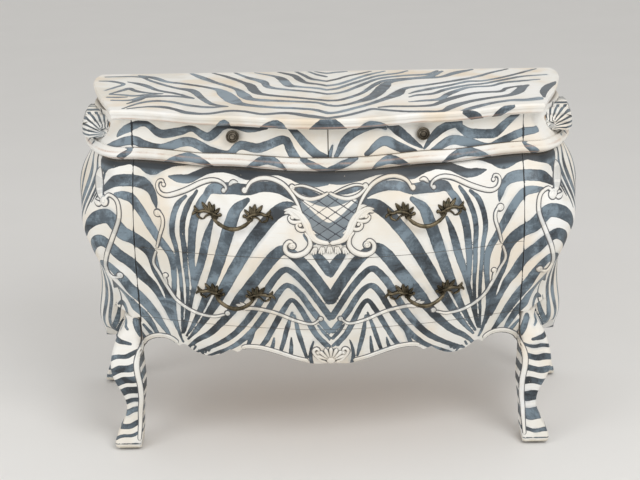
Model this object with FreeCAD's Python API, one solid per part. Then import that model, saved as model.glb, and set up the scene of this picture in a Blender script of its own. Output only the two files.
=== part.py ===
"""Bombe chest of drawers: swelling carcass on cabriole legs, two frieze drawers over two wide ones."""
import FreeCAD, Part
import math
import os

Vector = FreeCAD.Vector

# ---- Driving dimensions, millimetres ------------------------------------------------------
chest_width = 1274.0          # across the widest swell of the sides
chest_depth = 590.0           # from the back to the fullest part of the belly
drawer_bottom = 345.0         # floor to the lower edge of the lower drawer
lower_drawer_height = 195.0
upper_drawer_height = 203.0
waist_height = 30.0           # moulding between the big drawers and the frieze
frieze_height = 71.0
top_thickness = 26.0
post_width_at_waist = 68.0    # corner post, from the drawer end outwards
frieze_recess = 60.0          # how far the frieze front stands back from the belly
front_thickness = 26.0        # drawer fronts, side panels and aprons
board_thickness = 18.0        # dust boards, bottom board and guide walls
back_thickness = 10.0
drawer_side_thickness = 12.0
drawer_bottom_thickness = 6.0
drawer_back_gap = 25.0        # between a closed drawer and the back panel
bottom_board_lap = 9.0        # drawer fronts hang this far over the boards they run on
front_post_depth = 250.0      # from the belly back to the rear face of the front posts
rear_post_depth = 60.0
rear_post_width = 70.0
foot_height = 8.0             # glide under each foot
relief_height = 5.0           # scrolls stand this far off the surface
shell_height = 8.0            # cartouche frame and apron shell
knob_diameter = 31.0
knob_projection = 24.0
pull_post_spacing = 84.0
pull_projection = 27.0
pull_grip_diameter = 9.0
screw_diameter = 4.0

# ---- Clearances ---------------------------------------------------------------------------
reveal = 1.2                  # line left round each drawer front
run_clearance = 0.4           # drawer box over the board it slides on
side_clearance = 1.5          # drawer side to guide wall
kicker_clearance = 4.0        # drawer box under the board above
board_setback = 3.0           # board edges behind the drawer fronts
hole_clearance = 0.25
head_clearance = 1.0          # round each screw head in its spot

# ---- Heights and half widths that follow ----------------------------------------------------
half_width = chest_width / 2
split_height = drawer_bottom + lower_drawer_height
waist_bottom = split_height + upper_drawer_height
waist_top = waist_bottom + waist_height
frieze_top = waist_top + frieze_height
chest_height = frieze_top + top_thickness
waist_corner_inset = 96.0
drawer_end = half_width - waist_corner_inset - post_width_at_waist
post_back = chest_depth - front_post_depth
swell_share = 25 / 34         # the sides swell most this share of the way to the front posts
mid_depth = swell_share * post_back
guide_outer = drawer_end + board_thickness
skirt = 150.0                 # the swelling outline goes on this far below the drawers
apron_foot = drawer_bottom - skirt


def box(x0, x1, depth0, depth1, z0, z1):
    """Block between two widths, two depths measured forward from the back, and two heights."""
    corner = Vector(x0, -depth1, z0)
    return Part.makeBox(x1 - x0, depth1 - depth0, z1 - z0, corner)


def mirrored(shape):
    return shape.mirror(Vector(0, 0, 0), Vector(1, 0, 0))


def cleaned(shape):
    """Drop the compound wrapper when a boolean leaves a single solid."""
    if len(shape.Solids) == 1:
        return shape.Solids[0]
    return shape


# ---- Plan sections ------------------------------------------------------------------------
# The front bows forward to the middle: share of the way to a drawer end, share of the setback.
belly_bow = [(0.0, 0.0), (0.23, 0.10), (0.48, 0.30), (0.62, 0.46), (0.80, 0.71)]
serpentine_bow = [(0.0, 0.0), (0.23, 0.11), (0.49, 0.42), (0.62, 0.48), (0.80, 0.76)]
corner_round = 45.0           # the corner starts this far behind the drawer end


class Section:
    """One horizontal outline: insets from the widest point, and setbacks from the belly."""

    def __init__(self, height, back, side, corner, front, end, bow=belly_bow):
        self.height = height
        self.back = half_width - back
        self.side = half_width - side
        self.corner = half_width - corner
        self.centre = chest_depth - front
        self.end = self.centre - end
        self.end_setback = end
        self.bow = bow

    def outline(self, inset):
        """Right half from the back to the middle of the front, moved inwards by the inset."""
        corner_depth = self.end - corner_round
        flank = mid_depth + 0.6 * (corner_depth - mid_depth)
        points = [Vector(self.back, 0, self.height)]
        points.append(Vector(0.45 * self.back + 0.55 * self.side + 4, -mid_depth / 2, self.height))
        points.append(Vector(self.side, -mid_depth, self.height))
        points.append(Vector(0.45 * self.side + 0.55 * self.corner + 3, -flank, self.height))
        points.append(Vector(self.corner, -corner_depth, self.height))
        shoulder = 0.55 * self.corner + 0.45 * drawer_end
        points.append(Vector(shoulder, -(self.end - 6), self.height))
        points.append(Vector(drawer_end, -self.end, self.height))
        for across, share in reversed(self.bow):
            depth = self.centre - share * self.end_setback
            points.append(Vector(across * drawer_end, -depth, self.height))
        return moved_inwards(points, inset)


def moved_inwards(points, inset):
    moved = [points[0] - Vector(inset, 0, 0)]
    for before, point, after in zip(points, points[1:], points[2:]):
        along = after - before
        along.normalize()
        moved.append(point + Vector(along.y, -along.x, 0) * inset)
    moved.append(points[-1] + Vector(0, inset, 0))
    return moved


def swell(sections, inset=0.0):
    """Closed solid through the sections, with a flat back."""
    wires = []
    parameters = None
    for section in sections:
        right = section.outline(inset)
        left = [Vector(-point.x, point.y, point.z) for point in reversed(right[:-1])]
        points = right + left
        if parameters is None:
            parameters = [0.0]
            for before, after in zip(points, points[1:]):
                parameters.append(parameters[-1] + math.sqrt(before.distanceToPoint(after)))
        curve = Part.BSplineCurve()
        curve.interpolate(Points=points, Parameters=parameters)
        closing = Part.makeLine(points[-1], points[0])
        wires.append(Part.Wire([curve.toShape(), closing]))
    return Part.makeLoft(wires, True, False)


body_sections = [
    Section(apron_foot, 30, 47, 100, 76, 117),
    Section(drawer_bottom - 75, 30, 35, 108, 62, 115),
    Section(drawer_bottom, 34, 40, 120, 42, 112),
    Section(drawer_bottom + 0.30 * lower_drawer_height, 34, 42, 115, 26, 112),
    Section(drawer_bottom + 0.56 * lower_drawer_height, 32, 36, 87, 12, 113),
    Section(split_height, 26, 19, 50, 0, 115),
    Section(split_height + 0.22 * upper_drawer_height, 24, 9, 39, 0, 116),
    Section(split_height + 0.50 * upper_drawer_height, 23, 4, 60, 8, 118),
    Section(split_height + 0.80 * upper_drawer_height, 34, 25, 93, 30, 125),
    Section(waist_bottom, 48, 45, waist_corner_inset, 50, 135, serpentine_bow),
]
frieze_sections = [
    Section(waist_bottom - 6, 48, 45, waist_corner_inset, frieze_recess, 130, serpentine_bow),
    Section(waist_top, 46, 42, 88, frieze_recess - 10, 130, serpentine_bow),
    Section(waist_top + 0.45 * frieze_height, 50, 50, 113, frieze_recess + 2, 124, serpentine_bow),
    Section(frieze_top, 52, 56, 128, frieze_recess, 121, serpentine_bow),
]
waist_nose = 9.0              # how far the middle of the waist moulding stands out
waist_steps = [(0.0, -1.0), (0.22, 0.55), (0.5, 1.0), (0.8, 0.3), (1.0, -0.3)]


def waist_section(share, swing):
    out = waist_nose * swing
    height = waist_bottom + share * waist_height
    return Section(height, 38 - out, 34 - out, 80 - out, 38 - out, 136, serpentine_bow)


body = swell(body_sections)
body_inside = swell(body_sections, front_thickness)
frieze = swell(frieze_sections)
frieze_inside = swell(frieze_sections, front_thickness)
body_skin = body.cut(body_inside)
frieze_skin = frieze.cut(frieze_inside)
far = chest_width             # longer than anything, for cutting blocks


# ---- Feet and legs ------------------------------------------------------------------------
class LegSection:
    """Rounded square cut through a leg: insets from the widest side, depths, corner radius."""

    def __init__(self, height, outer, inner, front, back, radius=7.0):
        self.height = height
        self.x_out = half_width - outer
        self.x_in = half_width - inner
        self.front = front
        self.back = back
        self.radius = radius

    def wire(self):
        radius = self.radius
        near = -self.front
        away = -self.back
        height = self.height
        corners = [(self.x_in, near), (self.x_out, near), (self.x_out, away), (self.x_in, away)]
        edges = []
        starts = []
        ends = []
        for index, (x, y) in enumerate(corners):
            before = corners[index - 1]
            after = corners[(index + 1) % 4]
            starts.append(toward((x, y), before, radius, height))
            ends.append(toward((x, y), after, radius, height))
        for index, (x, y) in enumerate(corners):
            centre = starts[index] + ends[index] - Vector(x, y, height)
            bulge = Vector(x, y, height) - centre
            bulge.normalize()
            middle = centre + bulge * radius
            edges.append(Part.Arc(starts[index], middle, ends[index]).toShape())
            edges.append(Part.makeLine(ends[index], starts[(index + 1) % 4]))
        return Part.Wire(edges)


def toward(corner, other, distance, height):
    step_x = other[0] - corner[0]
    step_y = other[1] - corner[1]
    length = math.hypot(step_x, step_y)
    share = distance / length
    return Vector(corner[0] + step_x * share, corner[1] + step_y * share, height)


leg_proud = 2.0               # the leg stands this far in front of the carcass corner
leg_lap = 2.0                 # posts reach this far into the legs
front_corner_depth = body_sections[2].end + leg_proud
front_leg_sections = [
    LegSection(drawer_bottom - leg_lap, 122, 163, front_corner_depth - 6, post_back + 1, 19),
    LegSection(drawer_bottom - 40, 109, 162, front_corner_depth - 1, post_back, 20),
    LegSection(0.78 * drawer_bottom, 93, 158, front_corner_depth + 16, post_back + 4, 16),
    LegSection(0.69 * drawer_bottom, 86, 158, front_corner_depth + 28, post_back + 16, 12),
    LegSection(0.61 * drawer_bottom, 86, 161, front_corner_depth + 34, post_back + 34, 10),
    LegSection(0.50 * drawer_bottom, 98, 166, front_corner_depth + 32, post_back + 55, 8),
    LegSection(0.38 * drawer_bottom, 115, 164, front_corner_depth + 24, post_back + 65),
    LegSection(0.28 * drawer_bottom, 117, 160, front_corner_depth + 21, post_back + 70),
    LegSection(0.17 * drawer_bottom, 104, 158, front_corner_depth + 28, post_back + 70),
    LegSection(0.09 * drawer_bottom, 90, 156, front_corner_depth + 42, post_back + 72),
    LegSection(foot_height, 90, 154, front_corner_depth + 46, post_back + 74),
]
rear_leg_sections = [
    LegSection(drawer_bottom - leg_lap, 35, 100, rear_post_depth - 1, 1),
    LegSection(0.78 * drawer_bottom, 26, 96, rear_post_depth, 1),
    LegSection(0.60 * drawer_bottom, 29, 90, rear_post_depth - 1, 1),
    LegSection(0.42 * drawer_bottom, 38, 82, rear_post_depth - 10, 1),
    LegSection(0.28 * drawer_bottom, 36, 78, rear_post_depth - 14, 1),
    LegSection(0.16 * drawer_bottom, 20, 70, rear_post_depth - 12, 1),
    LegSection(foot_height, 5, 64, rear_post_depth - 6, 1),
]


def leg(sections):
    wires = [section.wire() for section in sections]
    return Part.makeLoft(wires, True, False)


def upright(x0, depth0, depth1):
    """The part of the swelling carcass beyond a width, from the drawer bottom to the top board."""
    lower = body.common(box(x0, far, depth0, depth1, drawer_bottom - leg_lap, waist_bottom))
    upper = frieze.common(box(x0, far, depth0, depth1, waist_bottom, frieze_top))
    return lower.fuse(upper)


front_knee_cut = 90.0         # knees are trimmed back to the posts this far below the drawers
rear_knee_cut = 20.0
rear_corner_inset = 30.0      # back corner of the carcass, in from the widest point
front_post = upright(drawer_end, post_back, far).fuse(leg(front_leg_sections)).removeSplitter()
front_post = front_post.cut(box(0, drawer_end, post_back, far, drawer_bottom - front_knee_cut,
                                chest_height))
front_post = front_post.cut(box(0, far, 0, post_back, apron_foot, chest_height))
rear_post_inner = half_width - rear_post_width - rear_corner_inset
rear_post = upright(rear_post_inner, 0, rear_post_depth).fuse(leg(rear_leg_sections)).removeSplitter()
rear_post = rear_post.cut(box(0, rear_post_inner, 0, rear_post_depth, drawer_bottom - rear_knee_cut,
                              chest_height))
rear_post = rear_post.cut(box(0, far, rear_post_depth, far, apron_foot, chest_height))


def glide(sections):
    """Low pad under a foot."""
    foot = sections[-1]
    middle_x = (foot.x_in + foot.x_out) / 2
    middle_y = -(foot.front + foot.back) / 2
    radius = 0.36 * min(foot.x_out - foot.x_in, foot.front - foot.back)
    return Part.makeCylinder(radius, foot_height, Vector(middle_x, middle_y, 0))


front_glide = glide(front_leg_sections)
rear_glide = glide(rear_leg_sections)
foot_glides = Part.makeCompound([front_glide, mirrored(front_glide), rear_glide, mirrored(rear_glide)])


# ---- Sides, aprons and boards ----------------------------------------------------------------
def side_slice(z0, z1, skin):
    return skin.common(box(0, far, rear_post_depth, post_back, z0, z1))


side_panel = side_slice(drawer_bottom, waist_bottom, body_skin)
side_panel = side_panel.fuse(side_slice(waist_bottom, frieze_top, frieze_skin)).removeSplitter()
side_panel = cleaned(side_panel)


def smooth_prism(points, direction):
    """Closed outline of straight runs and splines, swept straight in one direction."""
    edges = []
    for run in points:
        if len(run) == 2:
            edges.append(Part.makeLine(run[0], run[1]))
        else:
            curve = Part.BSplineCurve()
            curve.interpolate(run)
            edges.append(curve.toShape())
    face = Part.Face(Part.Wire(edges))
    return face.extrude(direction)


# Lower edge of the side apron: a hanging lobe between two hollows.
cutter_drop = 200.0           # the blocks that shape the aprons reach this far below the drawers
side_hollow = 78.0            # hollows rise to this far below the drawer bottom
side_lobe = 138.0             # the lobe hangs this far below the drawer bottom


def side_point(depth, drop):
    return Vector(0, -depth, drawer_bottom - drop)


side_middle = (rear_post_depth + post_back) / 2
side_reach = (post_back - rear_post_depth) / 2
side_cut = smooth_prism([
    [side_point(rear_post_depth - 1, 96), side_point(side_middle - 0.80 * side_reach, side_hollow),
     side_point(side_middle - 0.50 * side_reach, 92), side_point(side_middle - 0.25 * side_reach, 124),
     side_point(side_middle, side_lobe), side_point(side_middle + 0.25 * side_reach, 124),
     side_point(side_middle + 0.50 * side_reach, 92),
     side_point(side_middle + 0.80 * side_reach, side_hollow), side_point(post_back + 1, 96)],
    [side_point(post_back + 1, 96), side_point(post_back + 1, cutter_drop)],
    [side_point(post_back + 1, cutter_drop), side_point(rear_post_depth - 1, cutter_drop)],
    [side_point(rear_post_depth - 1, cutter_drop), side_point(rear_post_depth - 1, 96)],
], Vector(far, 0, 0))
side_apron = cleaned(side_slice(apron_foot, drawer_bottom, body_skin).cut(side_cut))

# Lower edge of the front apron, right half: share of the drawer end, drop below the drawers.
apron_arch = [(1.0, 86), (0.985, 76), (0.945, 65), (0.905, 59), (0.863, 59), (0.829, 65), (0.803, 77)]
apron_lobe = [(0.803, 77), (0.763, 70), (0.734, 82), (0.683, 95), (0.636, 98), (0.590, 91), (0.529, 70)]
apron_curl = [(0.529, 70), (0.510, 72), (0.490, 76), (0.469, 69)]
apron_sweep = [(0.469, 69), (0.431, 64), (0.359, 65), (0.273, 76), (0.188, 91), (0.104, 101), (0.045, 101)]
pendant_drop = 100.0


def front_points(pairs):
    return [Vector(share * drawer_end, 0, drawer_bottom - drop) for share, drop in pairs]


def mirrored_points(points):
    return [Vector(-point.x, point.y, point.z) for point in reversed(points)]


right_runs = [front_points(apron_arch), front_points(apron_lobe), front_points(apron_curl),
              front_points(apron_sweep)]
left_runs = [mirrored_points(run) for run in reversed(right_runs)]
middle_run = [right_runs[-1][-1], Vector(0, 0, drawer_bottom - pendant_drop), left_runs[0][0]]
deep = drawer_bottom - cutter_drop
right_side = [[Vector(drawer_end, 0, deep), right_runs[0][0]]]
left_side = [[left_runs[-1][-1], Vector(-drawer_end, 0, deep)]]
bottom_side = [[Vector(-drawer_end, 0, deep), Vector(drawer_end, 0, deep)]]
apron_cut = smooth_prism(right_side + right_runs + [middle_run] + left_runs + left_side + bottom_side,
                         Vector(0, -far, 0))
front_apron = body_skin.common(box(-drawer_end, drawer_end, mid_depth, far, apron_foot, drawer_bottom))
front_apron = cleaned(front_apron.cut(apron_cut))

bottom_board_top = drawer_bottom + bottom_board_lap
bottom_board_base = bottom_board_top - board_thickness
guide_wall = box(drawer_end, guide_outer, back_thickness, post_back, bottom_board_base, frieze_top)
guide_wall = cleaned(guide_wall.cut(side_panel))
back_panel = box(-rear_post_inner, rear_post_inner, 0, back_thickness, bottom_board_base, frieze_top)


def board(z_top, core, setback):
    """Flat board between the guide walls whose front edge follows the bow of the chest."""
    z0 = z_top - board_thickness
    blank = core.common(box(-drawer_end, drawer_end, back_thickness + setback, far, z0, z_top))
    blank.translate(Vector(0, setback, 0))
    return cleaned(blank)


bottom_board = board(bottom_board_top, body_inside, 0)
middle_board_top = split_height + bottom_board_lap
middle_board = board(middle_board_top, body_inside, board_setback)
frieze_board = board(waist_top, frieze, 0)
divider_half = board_thickness / 2
divider_core = frieze_inside.common(box(-divider_half, divider_half, back_thickness + board_setback, far,
                                        waist_top, frieze_top))
divider_core.translate(Vector(0, board_setback, 0))
frieze_divider = cleaned(divider_core)

# ---- Waist moulding -----------------------------------------------------------------------
waist_solid = swell([waist_section(share, swing) for share, swing in waist_steps])
waist_band = waist_solid.cut(frieze)
corner_x = drawer_end + post_width_at_waist
corner_y = post_back + corner_round
mitre_start = 60.0            # the mitre plane begins this far inside the corner
mitre_reach = 200.0           # and ends well outside it
mitre = [(0, corner_y - mitre_start), (corner_x - mitre_start, corner_y - mitre_start),
         (corner_x + mitre_reach, corner_y + mitre_reach), (0, corner_y + mitre_reach)]
mitre_points = [Vector(x, -depth, waist_bottom - 1) for x, depth in mitre]
mitre_points.append(mitre_points[0])
right_mitre = Part.Face(Part.makePolygon(mitre_points)).extrude(Vector(0, 0, waist_height + 2))
front_zone = right_mitre.fuse(mirrored(right_mitre))
waist_front = cleaned(waist_band.common(front_zone))
waist_sides = waist_band.cut(front_zone)
waist_right = [solid for solid in waist_sides.Solids if solid.CenterOfMass.x > 0][0]

# ---- Top board ----------------------------------------------------------------------------
# Plan of the top: insets from the widest side at the back, swell, flank and front corner.
top_back = half_width - 37
top_swell = half_width - 29
top_flank = half_width - 57
top_waist = half_width - 92
top_corner = half_width - 117
top_front = chest_depth - 28
top_corner_depth = chest_depth - 158
top_steps = [(0.0, 11.0), (0.20, 4.0), (0.45, 3.0), (0.62, 0.5), (0.82, 0.0), (1.0, 3.0)]


def top_outline(height, inset):
    right_side_run = [
        Vector(top_back, 0, height), Vector(top_swell, -0.36 * mid_depth, height),
        Vector(top_swell - 8, -0.54 * mid_depth, height), Vector(top_flank, -0.90 * mid_depth, height),
        Vector(top_waist, -1.36 * mid_depth, height), Vector(top_corner, -top_corner_depth, height)]
    bow = top_front - top_corner_depth - 8
    front_run = [Vector(top_corner, -top_corner_depth, height)]
    for across, share in reversed(serpentine_bow):
        front_run.append(Vector(across * drawer_end, -(top_front - share * bow), height))
    runs = []
    for points in (right_side_run, front_run):
        runs.append(moved_inwards(points, inset))
    meet = Vector(top_corner - 0.9 * inset, -(top_corner_depth - 0.9 * inset), height)
    runs[0][-1] = meet
    runs[1][0] = meet
    full_front = runs[1] + mirrored_points(runs[1][:-1])
    edges = []
    for points in (runs[0], full_front, mirrored_points(runs[0])):
        curve = Part.BSplineCurve()
        curve.interpolate(points)
        edges.append(curve.toShape())
    edges.append(Part.makeLine(mirrored_points(runs[0])[-1], runs[0][0]))
    return Part.Wire(edges)


top_wires = [top_outline(frieze_top + share * top_thickness, inset) for share, inset in top_steps]
top_board = Part.makeLoft(top_wires, True, True)


# ---- Drawers ------------------------------------------------------------------------------
bottom_lift = 8.0             # drawer bottom above the lower edges of the sides
back_step = 8.0               # drawer back below the upper edges of the sides


class Drawer:
    """Five boards: bowed front, two sides, back, and a bottom held in grooves.

    The front spans x0 to x1, and the box behind it runs between the walls wall0 and wall1.
    """

    def __init__(self, name, x0, x1, wall0, wall1, z_front0, z_front1, run_height, box_top,
                 skin, inside):
        self.name = name
        self.x0 = x0
        z0 = run_height + run_clearance
        z1 = box_top - kicker_clearance
        back = back_thickness + drawer_back_gap
        thick = drawer_side_thickness
        self.inside_x0 = wall0 + side_clearance + thick
        self.inside_x1 = wall1 - side_clearance - thick
        front = cleaned(skin.common(box(x0 + reveal, x1 - reveal, mid_depth, far, z_front0, z_front1)))
        left = inside.common(box(wall0 + side_clearance, self.inside_x0, back, far, z0, z1))
        right = inside.common(box(self.inside_x1, wall1 - side_clearance, back, far, z0, z1))
        groove = thick / 2
        floor_z = z0 + bottom_lift
        floor = inside.common(box(self.inside_x0 - groove, self.inside_x1 + groove, back, far,
                                  floor_z, floor_z + drawer_bottom_thickness))
        self.floor_top = floor_z + drawer_bottom_thickness
        rear = box(self.inside_x0, self.inside_x1, back, back + thick, self.floor_top, z1 - back_step)
        self.pieces = {
            "front": front,
            "side_left": cleaned(left.cut(floor)),
            "side_right": cleaned(right.cut(floor)),
            "back": rear,
            "bottom": cleaned(floor),
        }


def big_drawer(name, z_front0, z_front1, run_height, box_top):
    return Drawer(name, -drawer_end, drawer_end, -drawer_end, drawer_end, z_front0, z_front1,
                  run_height, box_top, body_skin, body_inside)


lower_drawer = big_drawer("lower_drawer", drawer_bottom + reveal, split_height - reveal / 2,
                          bottom_board_top, middle_board_top - board_thickness)
upper_drawer = big_drawer("upper_drawer", split_height + reveal / 2, waist_bottom - reveal,
                          middle_board_top, waist_bottom)
frieze_drawers = []
for name, x0, x1, wall0, wall1 in (
        ("frieze_drawer_left", -drawer_end, 0.0, -drawer_end, -divider_half),
        ("frieze_drawer_right", 0.0, drawer_end, divider_half, drawer_end)):
    drawer = Drawer(name, x0, x1, wall0, wall1, waist_top + reveal, frieze_top - reveal,
                    waist_top, frieze_top, frieze_skin, frieze_inside)
    frieze_drawers.append(drawer)

# ---- Carved relief ------------------------------------------------------------------------
body_low_relief = swell(body_sections, -relief_height)
body_high_relief = swell(body_sections, -shell_height)


def ribbon(points, start_width, middle_width, end_width):
    """Flat tapering band along a smooth line, swept forward through the front of the chest."""
    line = Part.BSplineCurve()
    line.interpolate([Vector(x, 0, z) for x, z in points])
    first = line.FirstParameter
    span = line.LastParameter - first
    steps = 4 * len(points)
    left = []
    right = []
    for step in range(steps + 1):
        share = step / steps
        at = first + span * share
        along = line.tangent(at)[0]
        ends = start_width * (1 - share) + end_width * share
        width = ends + (middle_width - (start_width + end_width) / 2) * math.sin(math.pi * share)
        offset = Vector(-along.z, 0, along.x) * (width / 2)
        left.append(line.value(at) + offset)
        right.append(line.value(at) - offset)
    right.reverse()
    return smooth_prism([left, [left[-1], right[0]], right, [right[-1], left[0]]], Vector(0, -far, 0))


def boss(x, z, radius):
    """Round stud seen from the front."""
    return Part.makeCylinder(radius, far, Vector(x, 0, z), Vector(0, -1, 0))


def carved(blanks, surface, ground):
    """Join the outlines and keep the layer between the carved surface and the ground."""
    joined = blanks[0]
    if len(blanks) > 1:
        joined = blanks[0].multiFuse(blanks[1:])
    return joined.common(surface).cut(ground)


# Lines run sideways from the middle of the chest and up or down from the split of the big drawers.
corner_scroll_line = [(543, 116), (526, 131), (506, 104), (509, 66), (530, 20), (546, -25), (550, -61),
                      (534, -85), (512, -79)]
upper_scroll_line = [(409, 145), (402, 133), (379, 132), (340, 147), (303, 167), (274, 175), (255, 172),
                     (241, 162)]
slender_upper_line = [(413, 95), (400, 92), (399, 68), (408, 34), (416, 3)]
slender_lower_line = [(419, -4), (427, -36), (413, -64), (395, -100), (372, -136), (331, -163),
                      (286, -171), (250, -160)]
sprig_line = [(209, -142), (183, -139), (135, -148), (84, -169), (45, -177), (22, -160)]
carving_half_width = 637.0    # size of the chest that the carving lines are drawn on
carving_upper_height = 203.0
carving_lower_height = 195.0


def on_the_chest(points):
    """Stretch a carving line with the width of the chest and the heights of its two big drawers."""
    across = half_width / carving_half_width
    placed = []
    for x, rise in points:
        stretch = upper_drawer_height / carving_upper_height
        if rise < 0:
            stretch = lower_drawer_height / carving_lower_height
        placed.append((x * across, split_height + rise * stretch))
    return placed


def scroll(points, start_width, middle_width, end_width, start_eye, end_eye):
    """A ribbon with a round eye at one or both ends."""
    line = on_the_chest(points)
    blanks = [ribbon(line, start_width, middle_width, end_width)]
    if start_eye:
        blanks.append(boss(line[0][0], line[0][1], start_eye))
    if end_eye:
        blanks.append(boss(line[-1][0], line[-1][1], end_eye))
    return blanks


def low_relief(blanks):
    return cleaned(carved(blanks, body_low_relief, body))


corner_scroll = low_relief(scroll(corner_scroll_line, 8, 12, 7, 9, 8))
upper_scrolls = [low_relief(scroll(upper_scroll_line, 6, 9, 6, 7, 6)),
                 low_relief(scroll(slender_upper_line, 5, 7, 5, 7, 0))]
upper_scrolls += [mirrored(piece) for piece in upper_scrolls]
lower_scrolls = [low_relief(scroll(slender_lower_line, 5, 8, 5, 0, 7)),
                 low_relief(scroll(sprig_line, 14, 8, 5, 0, 6))]
lower_scrolls += [mirrored(piece) for piece in lower_scrolls]

# Cartouche in the middle of the upper drawer: sunk field inside a leafy frame, shell strip below.
field_points = [(-72, 132), (-40, 158), (0, 164), (40, 158), (72, 132), (66, 96), (46, 62), (24, 38),
                (0, 30), (-24, 38), (-46, 62), (-66, 96), (-72, 132)]
frame_line = [(74, 140), (68, 110), (52, 76), (30, 52), (6, 36)]
leaf_line = [(103, 118), (88, 100), (66, 82), (46, 64), (24, 46)]
volute_line = [(56, 66), (76, 52), (90, 34), (80, 20), (64, 24)]
crest_line = [(86, 170), (62, 164), (38, 168), (16, 160), (0, 156)]
shell_line = [(60, 24), (38, 26), (20, 28), (0, 29)]
arch_line = [(195, 158), (180, 176), (161, 182), (133, 182), (107, 172), (86, 153), (72, 132)]


def field_outline(shrink):
    """The trellis field, scaled about its middle."""
    middle = 98.0
    points = [(x * shrink, middle + (z - middle) * shrink) for x, z in field_points]
    return smooth_prism([[Vector(x, 0, z) for x, z in on_the_chest(points)]], Vector(0, -far, 0))


cartouche_half = []
for line, widths in ((frame_line, (8, 11, 6)), (leaf_line, (5, 16, 7)), (volute_line, (8, 12, 8)),
                     (crest_line, (5, 15, 6)), (shell_line, (12, 20, 16)), (arch_line, (6, 9, 6))):
    cartouche_half.append(ribbon(on_the_chest(line), *widths))
for x, z, radius in ((195, 158, 6.5), (86, 170, 7), (14, 22, 13), (38, 22, 12)):
    middle = on_the_chest([(x, z)])[0]
    cartouche_half.append(boss(middle[0], middle[1], radius))
cartouche_blanks = [field_outline(1.0)] + cartouche_half + [mirrored(blank) for blank in cartouche_half]
cartouche = carved(cartouche_blanks, body_high_relief, body)
field_recess = field_outline(0.86).cut(body_low_relief)
cartouche = cleaned(cartouche.cut(field_recess))

# Moulding band along the apron edge, and the ribbed shell at its middle.
band_width = 11.0
band_height = 4.0


def band_run(pairs):
    """Band lying just above one stretch of the apron's lower edge."""
    line = [(point.x, point.z + band_width / 2) for point in front_points(pairs)]
    return ribbon(line, band_width, band_width, band_width)


body_band = swell(body_sections, -band_height)
band_blanks = [band_run(apron_arch), band_run(apron_sweep)]
band_right = carved(band_blanks, body_band, body)
band_right = band_right.common(box(0, drawer_end - reveal, 0, far, apron_foot, drawer_bottom)).cut(apron_cut)
edge_bands = list(band_right.Solids) + list(mirrored(band_right).Solids)

rib_count = 7
rib_scallop = 3.0
apron_fan_radius = 40.0
apron_fan_drop = 86.0
apron_fan_open = 0.78         # share of a half turn that the fan spreads over


def apron_fan_point(turn, grow):
    angle = math.pi * (0.5 + apron_fan_open * (turn - 0.5))
    radius = apron_fan_radius + grow
    return Vector(radius * math.cos(angle), 0, drawer_bottom - apron_fan_drop + radius * math.sin(angle))


fan_root = Vector(0, 0, drawer_bottom - apron_fan_drop)
fan_edges = [Part.makeLine(fan_root, apron_fan_point(0, 0))]
for index in range(rib_count):
    start = apron_fan_point(index / rib_count, 0)
    middle = apron_fan_point((index + 0.5) / rib_count, rib_scallop)
    end = apron_fan_point((index + 1) / rib_count, 0)
    fan_edges.append(Part.Arc(start, middle, end).toShape())
fan_edges.append(Part.makeLine(apron_fan_point(1, 0), fan_root))
shell_blanks = [Part.Face(Part.Wire(fan_edges)).extrude(Vector(0, -far, 0))]
shell_blanks.append(boss(0, drawer_bottom - 88, 13))
for hand in (-1, 1):
    shell_blanks.append(boss(hand * 20, drawer_bottom - 83, 10))
    shell_blanks.append(boss(hand * 33, drawer_bottom - 66, 11))
apron_shell = cleaned(carved(shell_blanks, body_high_relief, body))
edge_bands = [band.cut(apron_shell) for band in edge_bands]
edge_bands = [solid for band in edge_bands for solid in band.Solids]

# Ribbed shell high on each side, under the end of the top board: a dome cut into fanned ribs.
side_shell_reach = 28.0
side_shell_span = 96.0
side_rib_count = 9
scallop = 5.0
dome_sink = 24.0              # middle of the dome behind the frieze surface
dome_lift = 4.0               # and above the foot of the shell
groove_width = 3.0
groove_depth = 4.0
groove_root = 6.0             # grooves meet this far above the foot
button_radius = 11.0
button_sink = 8.0
side_shell_x = frieze_sections[2].side
side_shell_foot = waist_top + 0.14 * frieze_height
side_shell_rise = frieze_top - side_shell_foot - scallop - 1


def fan_point(turn, grow):
    """Point on the fan's rim, turned from the back edge (0) to the front edge (1)."""
    angle = math.pi * turn
    depth = mid_depth - (side_shell_span + grow) * math.cos(angle)
    return Vector(0, -depth, side_shell_foot + (side_shell_rise + grow) * math.sin(angle))


def dome(reach):
    ball = Part.makeSphere(1.0)
    stretch = FreeCAD.Matrix()
    stretch.scale(reach + dome_sink, side_shell_span * 1.15, side_shell_rise * 1.35)
    shape = ball.transformGeometry(stretch)
    shape.translate(Vector(side_shell_x - dome_sink, -mid_depth, side_shell_foot + dome_lift))
    return shape


rim = []
for index in range(side_rib_count):
    start = fan_point(index / side_rib_count, 0)
    middle = fan_point((index + 0.5) / side_rib_count, scallop)
    end = fan_point((index + 1) / side_rib_count, 0)
    rim.append(Part.Arc(start, middle, end).toShape())
rim.append(Part.makeLine(fan_point(1, 0), fan_point(0, 0)))
fan = Part.Face(Part.Wire(rim)).extrude(Vector(far, 0, 0))
side_shell = fan.common(dome(side_shell_reach)).cut(frieze)
grooves = []
for index in range(1, side_rib_count):
    lean = 90 - 180 * index / side_rib_count
    slot = Part.makeBox(far, groove_width, 2 * side_shell_span, Vector(0, -groove_width / 2, 0))
    slot.rotate(Vector(0, 0, 0), Vector(1, 0, 0), -lean)
    slot.translate(Vector(0, -mid_depth, side_shell_foot + groove_root))
    grooves.append(slot.cut(dome(side_shell_reach - groove_depth)))
side_shell = side_shell.cut(grooves)
button_x = side_shell_x + side_shell_reach - button_sink
side_button = Part.makeSphere(button_radius, Vector(button_x, -mid_depth, side_shell_foot + button_radius))
side_shell = cleaned(side_shell.fuse(side_button).cut(frieze))


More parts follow.
